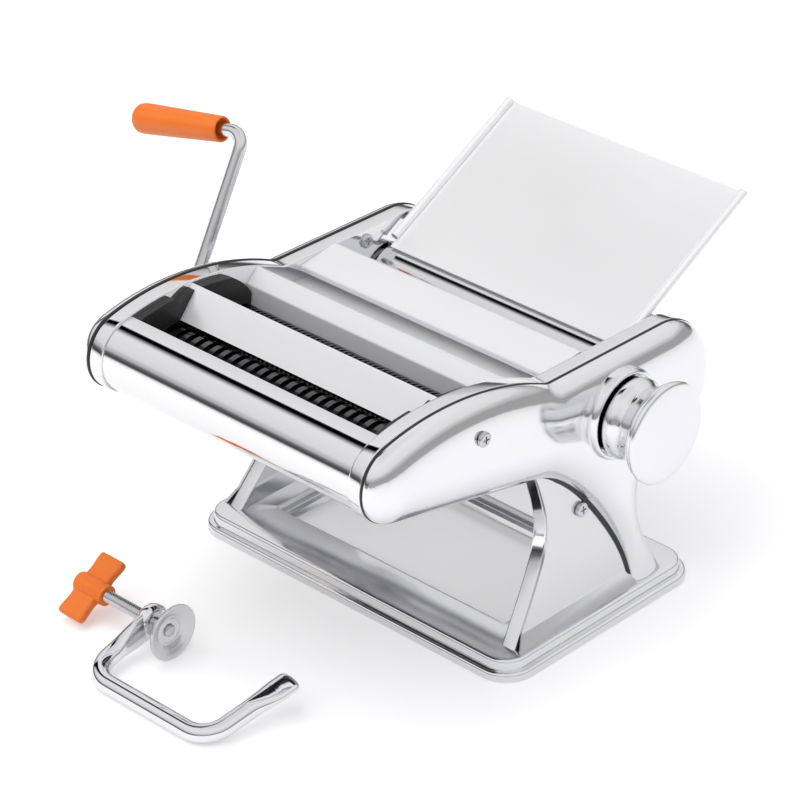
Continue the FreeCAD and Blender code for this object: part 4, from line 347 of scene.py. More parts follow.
POLISHED = MetalFinish("polished_steel", "polished", (0.83, 0.83, 0.84), 0.06, 0.05)
COVER_POLISH = MetalFinish("cover_polish", "polished", (0.86, 0.86, 0.87), 0.1, 0.06)
PANEL_SATIN = MetalFinish("panel_satin", "polished", (0.78, 0.78, 0.79), 0.24, 0.08, metallic=0.75)
BASE_POLISH = MetalFinish("base_polish", "polished", (0.82, 0.82, 0.83), 0.14, 0.08)
SHEET_POLISH = MetalFinish(
    "sheet_polish", "polished", (0.8, 0.8, 0.81), 0.3, 0.12, Grain.BRUSHED, 0.04, (0.04, 1.0, 1.0), metallic=0.35
)
TRAY_SHEET = MetalFinish(
    "tray_sheet", "polished", (0.95, 0.95, 0.955), 0.22, 0.1, Grain.BRUSHED, 0.03, (0.04, 1.0, 1.0), metallic=0.3
)
ROD_STEEL = MetalFinish("rod_steel", "satin", (0.74, 0.74, 0.75), 0.2, 0.1)
PAD_STEEL = MetalFinish("pad_steel", "satin", (0.7, 0.7, 0.71), 0.24, 0.12, Grain.TURNED, 0.03)
THREAD_STEEL = MetalFinish("thread_steel", "satin", (0.62, 0.62, 0.63), 0.2, 0.1)
ROLLER_STEEL = MetalFinish(
    "roller_steel", "satin", (0.74, 0.74, 0.75), 0.09, 0.06, Grain.TURNED, 0.03, (1.0, 0.05, 0.05)
)
KNOB_FACE = MetalFinish("knob_face", "satin", (0.86, 0.86, 0.87), 0.2, 0.08, Grain.TURNED, 0.03)
ZINC = MetalFinish("zinc_plate", "plain_steel", (0.5, 0.51, 0.53), 0.3, 0.2, Grain.TUMBLED, 0.08)
# Cutter steel with its colour darkened far below bare steel, painting the shade of the well the cutters sit in.
CUTTER_SHADE_STEEL = MetalFinish("cutter_steel", "satin", (0.11, 0.11, 0.115), 0.22, 0.15, Grain.TURNED, 0.05)
SCREW_STEEL = MetalFinish("screw_steel", "plain_steel", (0.6, 0.6, 0.61), 0.22, 0.15)
ORANGE = MouldedFinish("orange_plastic", "orange", (0.86, 0.19, 0.012), (0.8, 0.16, 0.009), 0.36, 0.04)
# Black nylon for the combs, end guides and pointer; the seam strips use it as painted shade.
BLACK = MouldedFinish("black_nylon", "black", (0.012, 0.012, 0.013), (0.02, 0.02, 0.021), 0.38)
WHITE = MouldedFinish("white_nylon", "white", (0.7, 0.7, 0.67), (0.62, 0.62, 0.6), 0.5)
RUBBER = MouldedFinish("black_rubber", "rubber", (0.02, 0.02, 0.02), (0.03, 0.03, 0.03), 0.7, 0.0, 0.15)


# Shaping helpers ----------------------------------------------------------------------------------------------


def point(x: float, y: float, z: float) -> Vector:
    """A point given in millimetres, in metres."""
    return Vector((x, y, z)) * MM


@dataclass
class Knot:
    """A point of a side curve, in millimetres: where it is, and the handles before and after it."""

    y: float
    z: float
    back: Pair | None = None
    ahead: Pair | None = None

    def moved(self, dy: float, dz: float) -> "Knot":
        """The same knot, moved with its handles."""
        handles = [spot and (spot[0] + dy, spot[1] + dz) for spot in (self.back, self.ahead)]
        return Knot(self.y + dy, self.z + dz, *handles)


def arc_knots(centre: Pair, radius: float, start: float, end: float) -> list[Knot]:
    """Knots of a circular arc.

    Args:
        centre: (y, z) of the centre.
        radius: The arc's radius.
        start: First angle in degrees, from +Y towards +Z.
        end: Last angle in degrees.

    Returns:
        Knots whose handles follow the circle.
    """
    steps = max(1, math.ceil(abs(end - start) / 45))
    turn = math.radians(end - start) / steps
    reach = 4 / 3 * math.tan(turn / 4) * radius
    knots = []
    for i in range(steps + 1):
        angle = math.radians(start) + turn * i
        y = centre[0] + radius * math.cos(angle)
        z = centre[1] + radius * math.sin(angle)
        along = (-math.sin(angle) * reach, math.cos(angle) * reach)
        back = (y - along[0], z - along[1]) if i else None
        ahead = (y + along[0], z + along[1]) if i < steps else None
        knots.append(Knot(y, z, back, ahead))
    return knots


def smooth_knots(points: Sequence[tuple], directions: Sequence[tuple]) -> list[Knot]:
    """Knots of a flowing curve through points with given directions.

    Args:
        points: (y, z) of each point.
        directions: (dy, dz) of the curve at each point, any length.

    Returns:
        Knots with handles a third of each run long.
    """
    knots = []
    last = len(points) - 1
    for i, ((y, z), (dy, dz)) in enumerate(zip(points, directions)):
        unit = math.hypot(dy, dz)
        dy, dz = dy / unit, dz / unit
        back = ahead = None
        if i:
            run = math.dist(points[i - 1], points[i]) / 3
            back = (y - dy * run, z - dz * run)
        if i < last:
            run = math.dist(points[i], points[i + 1]) / 3
            ahead = (y + dy * run, z + dz * run)
        knots.append(Knot(y, z, back, ahead))
    return knots


def join_knots(*runs: Sequence[Knot]) -> list[Knot]:
    """Chain runs of knots, so that a knot where two runs meet appears once."""
    chain: list[Knot] = []
    for run in runs:
        for knot in run:
            if chain and math.dist((chain[-1].y, chain[-1].z), (knot.y, knot.z)) < 0.01:
                chain[-1].ahead = knot.ahead
            else:
                chain.append(Knot(knot.y, knot.z, knot.back, knot.ahead))
    first, last = chain[0], chain[-1]
    if len(chain) > 2 and math.dist((first.y, first.z), (last.y, last.z)) < 0.01:
        first.back = last.back
        chain.pop()
    return chain


def placed(name: str, data: bpy.types.ID) -> bpy.types.Object:
    """A new object in the scene."""
    thing = bpy.data.objects.new(name, data)
    bpy.context.scene.collection.objects.link(thing)
    return thing


def evaluated_mesh(data: bpy.types.Curve) -> Mesh:
    """The mesh that a curve makes, as a bmesh; the curve is removed."""
    holder = placed("guide_line", data)
    bpy.context.view_layer.update()
    evaluated = holder.evaluated_get(bpy.context.evaluated_depsgraph_get())
    mesh = bpy.data.meshes.new_from_object(evaluated)
    bm = bmesh.new()
    bm.from_mesh(mesh)
    bpy.data.meshes.remove(mesh)
    bpy.data.objects.remove(holder)
    bpy.data.curves.remove(data)
    return bm


def bezier(spots: Sequence[tuple], resolution: int, closed: bool = False) -> bpy.types.Curve:
    """A Bezier line.

    Args:
        spots: (place, handle before, handle after) of each point in metres; a handle may be None.
        resolution: Edges between two points.
        closed: Whether the line returns to its first point.

    Returns:
        The curve's data.
    """
    data = bpy.data.curves.new("guide_line", "CURVE")
    data.dimensions = "3D"
    data.resolution_u = resolution
    spline = data.splines.new("BEZIER")
    spline.bezier_points.add(len(spots) - 1)
    spline.use_cyclic_u = closed
    for spot, (place, back, ahead) in zip(spline.bezier_points, spots):
        spot.handle_left_type = spot.handle_right_type = "FREE"
        spot.co = place
        spot.handle_left = back or place
        spot.handle_right = ahead or place
    return data


def curve_mesh(knots: Sequence[Knot], x: float, closed: bool, resolution: int = 12) -> Mesh:
    """A line of edges along a side curve.

    Args:
        knots: The curve's knots, in millimetres.
        x: The plane that the curve lies in, in millimetres.
        closed: Whether the curve returns to its first knot.
        resolution: Edges between two knots.

    Returns:
        A bmesh with vertices and edges only.
    """
    spots = [
        (point(x, knot.y, knot.z), knot.back and point(x, *knot.back), knot.ahead and point(x, *knot.ahead))
        for knot in knots
    ]
    bm = evaluated_mesh(bezier(spots, resolution, closed))
    bmesh.ops.remove_doubles(bm, verts=bm.verts, dist=WELD * MM)
    return bm


def ring_order(bm: Mesh) -> list[bmesh.types.BMVert]:
    """The vertices of a single closed ring of edges, in order."""
    start = bm.verts[:][0]
    ring = [start]
    edge = start.link_edges[0]
    vert = edge.other_vert(start)
    while vert is not start:
        ring.append(vert)
        edge = next(e for e in vert.link_edges if e is not edge)
        vert = edge.other_vert(vert)
    return ring


def fill_ring(bm: Mesh, edges: Sequence) -> bmesh.types.BMFace:
    """One face inside a closed ring of edges."""
    return bmesh.ops.contextual_create(bm, geom=list(edges))["faces"][0]


def edge_rings(edges: Sequence) -> list[list]:
    """Sort edges into groups that hang together."""
    left = set(edges)
    rings = []
    while left:
        ring = [left.pop()]
        for edge in ring:
            for near in (e for vert in edge.verts for e in vert.link_edges if e in left):
                left.discard(near)
                ring.append(near)
        rings.append(ring)
    return rings


def whole(bm: Mesh) -> list:
    """All vertices, edges and faces."""
    return bm.verts[:] + bm.edges[:] + bm.faces[:]


def strung(spots: Sequence[Vector]) -> tuple[Mesh, list, list]:
    """A bmesh with a line of edges through points in metres, and its vertices and edges."""
    bm = bmesh.new()
    verts = [bm.verts.new(spot) for spot in spots]
    return bm, verts, [bm.edges.new(pair) for pair in zip(verts, verts[1:])]


def outwards(bm: Mesh) -> Mesh:
    """Turn all faces of a closed shape outwards, and return it."""
    bmesh.ops.recalc_face_normals(bm, faces=bm.faces)
    return bm


def facing(bm: Mesh, up: Vector) -> Mesh:
    """Turn an open sheet's faces to one side, and return it."""
    outwards(bm).normal_update()
    if sum(face.normal.dot(up) * face.calc_area() for face in bm.faces) < 0:
        bmesh.ops.reverse_faces(bm, faces=bm.faces)
    return bm


def eased(share: float) -> float:
    """A soft step that goes from 0 to 1 with its share."""
    share = min(1.0, max(0.0, share))
    return share * share * (3 - 2 * share)


def of_kind(geometry: Sequence, kind: type) -> list:
    """The items of one kind among some geometry."""
    return [item for item in geometry if isinstance(item, kind)]


def ring_rows(bm: Mesh, rows: Sequence[Pair]) -> tuple[list[bmesh.types.BMEdge], dict]:
    """Draw a closed ring in a YZ plane out into rows.

    Args:
        bm: A bmesh with one closed ring of edges.
        rows: (x, inset) of each row in millimetres; the inset is towards the ring's inside.

    Returns:
        The last row's edges, and the inset of each vertex in millimetres.
    """
    ring = ring_order(bm)
    turning = sum(a.co.y * b.co.z - b.co.y * a.co.z for a, b in zip(ring, ring[1:] + ring[:1]))
    sign = 1.0 if turning > 0 else -1.0
    base, inward = {}, {}
    for before, vert, after in zip(ring[-1:] + ring[:-1], ring, ring[1:] + ring[:1]):
        along = (after.co - before.co).normalized()
        base[vert] = vert.co.copy()
        inward[vert] = Vector((0.0, -along.z, along.y)) * sign
    insets = {}

    def place(verts: Sequence[bmesh.types.BMVert], row: Pair) -> None:
        """Put a row's vertices where they belong."""
        for vert in verts:
            spot = base[vert] + inward[vert] * row[1] * MM
            vert.co = Vector((row[0] * MM, spot.y, spot.z))
            insets[vert] = row[1]

    edges = bm.edges[:]
    place(ring, rows[0])
    current = set(ring)
    for row in rows[1:]:
        made = bmesh.ops.extrude_edge_only(bm, edges=edges)["geom"]
        verts = of_kind(made, bmesh.types.BMVert)
        for vert in verts:
            partner = next(e.other_vert(vert) for e in vert.link_edges if e.other_vert(vert) in current)
            base[vert], inward[vert] = base[partner], inward[partner]
        place(verts, row)
        edges = of_kind(made, bmesh.types.BMEdge)
        current = set(verts)
    return edges, insets


def cut_grid(bm: Mesh, geometry: list, axis: int, places: Sequence[float]) -> list:
    """Cut geometry along parallel planes.

    Args:
        bm: The bmesh.
        geometry: The faces, edges and vertices to cut.
        axis: 0, 1 or 2 for planes across X, Y or Z.
        places: The planes' places, in millimetres.

    Returns:
        The geometry with its new parts.
    """
    normal = Vector((0.0, 0.0, 0.0))
    normal[axis] = 1.0
    for place in places:
        geometry = bmesh.ops.bisect_plane(
            bm, geom=geometry, dist=1e-7, plane_co=normal * place * MM, plane_no=normal
        )["geom"]
    return geometry


def spun(profile: Sequence[tuple], steps: int = 72, closed: bool = False) -> Mesh:
    """A shape turned about the X axis.

    Args:
        profile: (along, radius) in millimetres.
        steps: Faces round the turn.
        closed: Whether the profile returns to its first point.

    Returns:
        The turned bmesh, about the X axis through the origin.
    """
    bm, verts, edges = strung([point(along, 0, radius) for along, radius in profile])
    if closed:
        edges.append(bm.edges.new((verts[-1], verts[0])))
    bmesh.ops.spin(
        bm, geom=verts + edges, cent=(0, 0, 0), axis=AXIS_X, angle=2 * math.pi, steps=steps, use_merge=True
    )
    bmesh.ops.remove_doubles(bm, verts=bm.verts, dist=0.003 * MM)
    return outwards(bm)


def rounded_profile(profile: Sequence[tuple], radius: float, steps: int = 3) -> list[tuple]:
    """A profile with its inner corners rounded.

    Args:
        profile: The corners, as pairs.
        radius: The rounding, which shrinks where an edge is short.
        steps: Edges in each rounding.

    Returns:
        The new profile.
    """
    out = [profile[0]]
    for before, corner, after in zip(profile, profile[1:], profile[2:]):
        a = Vector(before) - Vector(corner)
        b = Vector(after) - Vector(corner)
        reach = min(radius, a.length * 0.45, b.length * 0.45)
        start = Vector(corner) + a.normalized() * reach
        end = Vector(corner) + b.normalized() * reach
        for i in range(steps + 1):
            t = i / steps
            spot = start * (1 - t) ** 2 + Vector(corner) * 2 * t * (1 - t) + end * t**2
            out.append((spot.x, spot.y))
    out.append(profile[-1])
    return out


def shifted(bm: Mesh, x: float, y: float, z: float) -> Mesh:
    """Move a whole bmesh by millimetres, and return it."""
    bmesh.ops.translate(bm, verts=bm.verts, vec=point(x, y, z))
    return bm


def aimed(bm: Mesh, direction: Vector, place: Vector) -> Mesh:
    """Turn a bmesh from +X to a direction, and put its origin at a place in millimetres."""
    turn = AXIS_X.rotation_difference(direction).to_matrix()
    bmesh.ops.rotate(bm, verts=bm.verts, cent=(0, 0, 0), matrix=turn)
    bmesh.ops.translate(bm, verts=bm.verts, vec=place * MM)
    return bm


def opposite(bm: Mesh) -> Mesh:
    """The mirror image across the machine's middle, with its faces still outwards."""
    bmesh.ops.scale(bm, vec=(-1, 1, 1), verts=bm.verts)
    bmesh.ops.reverse_faces(bm, faces=bm.faces)
    return bm


def add_mesh(bm: Mesh, other: Mesh) -> Mesh:
    """Take another bmesh into this one, and return this one."""
    mesh = bpy.data.meshes.new("joined")
    other.to_mesh(mesh)
    other.free()
    bm.from_mesh(mesh)
    bpy.data.meshes.remove(mesh)
    return bm


def across(points: Sequence[tuple], half: float, up: Vector) -> Mesh:
    """A sheet across the machine that follows a line seen from the side.

    Args:
        points: (y, z) along the line, in millimetres.
        half: Half the sheet's width, in millimetres.
        up: The side that its faces should point to.

    Returns:
        The open sheet.
    """
    bm, _, edges = strung([point(-half, y, z) for y, z in points])
    made = bmesh.ops.extrude_edge_only(bm, edges=edges)["geom"]
    bmesh.ops.translate(bm, verts=of_kind(made, bmesh.types.BMVert), vec=point(2 * half, 0, 0))
    return facing(bm, up)


def tube(points: Sequence[Vector], radius: float, bend: float, sides: int = 24) -> Mesh:
    """A round bar along straight runs with rounded corners.

    Args:
        points: The corners, in millimetres.
        radius: The bar's radius, in millimetres.
        bend: Bend radius of the middle line, in millimetres.
        sides: Faces round the bar.

    Returns:
        The bar, closed at both ends.
    """
    spots: list[tuple[Vector, Vector | None, Vector | None]] = [(points[0], None, None)]
    for before, corner, after in zip(points, points[1:], points[2:]):
        back = (before - corner).normalized()
        on = (after - corner).normalized()
        half = back.angle(on) / 2
        reach = bend / math.tan(half)
        handle = 4 / 3 * math.tan((math.pi - 2 * half) / 4) * bend
        spots.append((corner + back * reach, None, corner + back * (reach - handle)))
        spots.append((corner + on * reach, corner + on * (reach - handle), None))
    spots.append((points[-1], None, None))
    data = bezier([tuple(v and v * MM for v in spot) for spot in spots], 14)
    data.bevel_depth = radius * MM
    data.bevel_resolution = max(1, sides // 4 - 1)
    data.use_fill_caps = True
    data.twist_mode = "MINIMUM"
    bm = evaluated_mesh(data)
    bmesh.ops.remove_doubles(bm, verts=bm.verts, dist=WELD * MM)
    return outwards(bm)


class Workbench:
    """Turns shapes into finished pieces that ride on the machine's bodies."""

    def piece(
        self,
        name: str,
        bm: Mesh,
        finish: Finish,
        body: str,
        nodes: Sequence[str] = (),
        sharp: float = 32.0,
        bevel: float = 0.0,
        wall: float = 0.0,
        normals: Callable[[Vector], Vector | None] | None = None,
    ) -> bpy.types.Object:
        """Finish a bmesh as a piece.

        Args:
            name: The piece's name.
            bm: Its shape, in metres, where it stands on the machine. It is freed.
            finish: Its finish.
            body: The body that it rides on.
            nodes: CAD nodes that it stands for.
            sharp: Angle in degrees above which an edge looks sharp.
            bevel: Width in millimetres of the rounding on sharp edges, or 0.
            wall: Thickness in millimetres that an open sheet gets inwards, or 0.
            normals: Gives the true normal of a curved face at a point, or None to keep the mesh's own.

        Returns:
            The finished object.
        """
        if wall:
            bmesh.ops.solidify(bm, geom=bm.faces[:], thickness=wall * MM)
        mesh = bpy.data.meshes.new(name)
        bm.to_mesh(mesh)
        bm.free()
        for polygon in mesh.polygons:
            polygon.use_smooth = True
        thing = placed(name, mesh)
        mesh.materials.append(finish.material())
        if bevel:
            edge = thing.modifiers.new("Edges", "BEVEL")
            edge.width = bevel * MM
            edge.segments = 2
            edge.limit_method = "ANGLE"
            edge.angle_limit = math.radians(sharp)
            edge.use_clamp_overlap = True
            edge.harden_normals = True
        elif normals:
            own = [vert.normal.copy() for vert in mesh.vertices]
            mesh.normals_split_custom_set_from_vertices(
                [normals(vert.co) or mine for vert, mine in zip(mesh.vertices, own)]
            )
        else:
            mesh.set_sharp_from_angle(angle=math.radians(sharp))
        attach(thing, body)
        if nodes:
            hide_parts(*nodes)
        LOG.info("%s: %d faces, rides on %s", name, len(mesh.polygons), body)
        return thing

    def merged(self, node: str) -> Mesh:
        """A merged copy of a CAD node's mesh, with its flat faces whole."""
        bm = bmesh.new()
        bm.from_mesh(frame["nodes"][node].data)
        bmesh.ops.remove_doubles(bm, verts=bm.verts, dist=0.004 * MM)
        bmesh.ops.dissolve_limit(
            bm, angle_limit=math.radians(0.4), verts=bm.verts, edges=bm.edges, delimit={"NORMAL"}
        )
        return bm

    def refined(self, node: str, finish: Finish, bevel: float = 0.25, sharp: float = 32.0) -> bpy.types.Object:
        """Replace a CAD node by its merged copy with eased edges.

        Args:
            node: The CAD node.
            finish: The finish.
            bevel: Width of the eased edges, in millimetres.
            sharp: Angle in degrees above which an edge is eased.

        Returns:
            The new piece.
        """
        body = body_of(frame["nodes"][node])[0]
        return self.piece(node + "_dressed", self.merged(node), finish, body, [node], sharp, bevel)

    def dressed(self, node: str, finish: Finish) -> None:
        """Keep a CAD node and give it a finish."""
        mesh = frame["nodes"][node].data
        mesh.materials.clear()
        mesh.materials.append(finish.material())
        LOG.info("%s: kept, %s", node, finish.name)


BENCH = Workbench()


# Side shells --------------------------------------------------------------------------------------------------


@dataclass(frozen=True)
class SideOutline:
    """The side shells seen from the end, as (y, z) in millimetres."""

    nose: Pair = (-126.5, 130.0)
    nose_radius: float = 19.0
    nose_high: float = 105.0
    crest: Pair = (-94.0, 152.6)
    crest_direction: Pair = (1.0, -0.021)
    notch_in: Pair = (-29.71, 137.75)
    notch_out: Pair = (-24.02, 136.46)
    notch_fall: Pair = (1.0, -0.46)
    top: float = 135.5
    back: Pair = (52.0, 104.5)
    back_radius: float = 31.0
    back_low: float = -28.0
    waist_back: Pair = (31.5, 58.0)
    foot_back: Pair = (48.0, 10.0)
    foot: float = 10.0
    spare: float = 16.0
    arch: Pairs = ((-36.0, 91.8), (-18.0, 83.0), (9.0, 54.0), (27.5, 10.0))
    arch_directions: Pairs = (
        (0.979, -0.203), (0.814, -0.598), (0.587, -0.837), (0.06, -1.0),
    )
    leg_points: Pairs = (
        (-53.0, 10.0), (-37.6, 32.0), (-27.4, 50.0), (-25.2, 62.0), (-28.4, 78.0), (-33.5, 91.28),
    )
    leg_directions: Pairs = (
        (0.56, 0.83), (0.55, 0.835), (0.34, 0.94), (0.0, 1.0), (-0.3, 0.954), (-0.42, 0.907),
    )
    leg_bend: Pair = (86.0, 38.0)
    splay: float = 8.46
    tuck: float = 1.2

    def nose_low(self) -> float:
        """The angle in degrees at which the underside leaves the nose circle."""
        reach = math.dist(self.arch[0], self.nose)
        towards = math.atan2(self.arch[0][1] - self.nose[1], self.arch[0][0] - self.nose[0])
        return math.degrees(towards - math.acos(self.nose_radius / reach)) + 360

    def lean(self, z: float) -> float:
        """How far the splay moves a leg outwards at a height."""
        high, low = self.leg_bend
        if z >= high:
            return 0.0
        slope = math.tan(math.radians(self.splay))
        if z >= low:
            return slope * (high - z) ** 2 / (2 * (high - low))
        return slope * ((high + low) / 2 - z)

    def over_the_top(self) -> list[Knot]:
        """From the nose's underside, round the nose, over the top and down the back to below the foot."""
        nose = arc_knots(self.nose, self.nose_radius, self.nose_low(), self.nose_high)
        high = math.radians(self.nose_high)
        crown = smooth_knots(
            [(nose[-1].y, nose[-1].z), self.crest, self.notch_in],
            [(math.sin(high), -math.cos(high)), self.crest_direction, self.notch_fall],
        )
        level = (self.back[0] - self.notch_out[0], self.top - self.notch_out[1])
        notch = smooth_knots([self.notch_in, self.notch_out], [self.notch_fall, level])
        ridge = smooth_knots([self.notch_out, (self.back[0], self.top)], [level, level])
        rear = arc_knots(self.back, self.back_radius, 90.0, self.back_low)
        below = (self.foot_back[0] + 0.575 * self.spare, self.foot - self.spare)
        leg = smooth_knots(
            [(rear[-1].y, rear[-1].z), self.waist_back, self.foot_back, below],
            [(-0.47, -0.88), (0.0, -1.0), (0.5, -0.87), (0.5, -0.87)],
        )
        return join_knots(nose, crown, notch, ridge, rear, leg)

    def arch_run(self, downwards: bool) -> list[Knot]:
        """The arch under the cover, on to below the foot."""
        points = [*self.arch, (self.arch[-1][0] + 0.06 * self.spare, self.foot - self.spare)]
        ways = [*self.arch_directions, (0.06, -1.0)]
        if not downwards:
            points.reverse()
            ways = [(-dy, -dz) for dy, dz in reversed(ways)]
        return smooth_knots(points, ways)

    def leg_front(self) -> list[Knot]:
        """From below the front of the foot, up the leg to the nose's underside."""
        (y, z), (dy, dz) = self.leg_points[0], self.leg_directions[0]
        below = (y - self.spare * dy / dz, z - self.spare)
        return smooth_knots([below, *self.leg_points], [(dy, dz), *self.leg_directions])

    def cover(self) -> list[Knot]:
        """The cover's closed outline."""
        return join_knots(self.over_the_top(), self.arch_run(False))

    def side_frame(self) -> list[Knot]:
        """The frame's closed outline."""
        return join_knots(self.over_the_top(), self.leg_front())

    def panel(self) -> list[Knot]:
        """The leg panel's closed outline, a little under the cover."""
        arch = [knot.moved(self.tuck, self.tuck) for knot in self.arch_run(True)]
        return join_knots(self.leg_front(), arch)


@dataclass
class CoverDome:
    """The height of a pressed side cover above its seam."""

    outline: SideOutline
    start: float = 86.4
    rise: float = 10.6
    wide: float = 21.0
    narrow: float = 10.3
    narrow_below: float = 56.0
    wide_above: float = 96.0
    ring: list[Pair] = field(default_factory=list)
    tree: KDTree | None = None

    def learn(self, ring: Sequence[bmesh.types.BMVert]) -> None:
        """Note the outline's points."""
        self.ring = [(vert.co.y / MM, vert.co.z / MM) for vert in ring]
        self.tree = KDTree(len(self.ring))
        for i, (y, z) in enumerate(self.ring):
            self.tree.insert((0.0, y, z), i)
        self.tree.balance()

    def nearest(self, y: float, z: float) -> tuple[float, float, float]:
        """Distance to the outline, and the direction away from it.

        Args:
            y: Place in millimetres.
            z: Place in millimetres.

        Returns:
            The distance, and the unit direction (dy, dz).
        """
        _, index, _ = self.tree.find((0.0, y, z))
        best = (1e9, 0.0, 0.0)
        count = len(self.ring)
        for a, b in ((index - 1, index), (index, (index + 1) % count)):
            ay, az = self.ring[a]
            by, bz = self.ring[b]
            dy, dz = by - ay, bz - az
            t = ((y - ay) * dy + (z - az) * dz) / (dy * dy + dz * dz)
            t = min(1.0, max(0.0, t))
            gap_y, gap_z = y - ay - dy * t, z - az - dz * t
            distance = math.hypot(gap_y, gap_z)
            if distance < best[0]:
                best = (distance, gap_y, gap_z)
        distance, gap_y, gap_z = best
        if distance < 1e-4:
            return 0.0, 0.0, 0.0
        return distance, gap_y / distance, gap_z / distance

    def width(self, z: float) -> float:
        """Width of the rounding at a height."""
        t = (z - self.narrow_below) / (self.wide_above - self.narrow_below)
        return self.narrow + (self.wide - self.narrow) * eased(t)

    def share(self, distance: float, z: float) -> Pair:
        """The share of the full rise at a distance from the outline, and its slope per millimetre."""
        width = self.width(z)
        left = max(0.0, 1 - distance / width)
        value = math.sqrt(max(0.0, 1 - left * left))
        slope = left / (width * max(value, 0.02))
        return value, slope

    def height(self, y: float, z: float, distance: float | None = None) -> float:
        """X of the cover's outside at a place, in millimetres."""
        if distance is None:
            distance = self.nearest(y, z)[0]
        lean = self.outline.lean(z)
        return self.start + lean + (self.rise - lean) * self.share(distance, z)[0]

    def normal(self, spot: Vector, sign: float) -> Vector | None:
        """The outside's normal at a point in metres, or None off the outside."""
        x, y, z = abs(spot.x) / MM, spot.y / MM, spot.z / MM
        distance, dy, dz = self.nearest(y, z)
        if distance < 0.02:
            return None
        value, slope = self.share(distance, z)
        lean = self.outline.lean(z)
        if abs(x - (self.start + lean + (self.rise - lean) * value)) > 0.06:
            return None
        drop = (self.outline.lean(z + 0.5) - self.outline.lean(z - 0.5)) * (1 - value)
        rise = (self.rise - lean) * slope
        return Vector((sign, -rise * dy, -rise * dz - drop)).normalized()


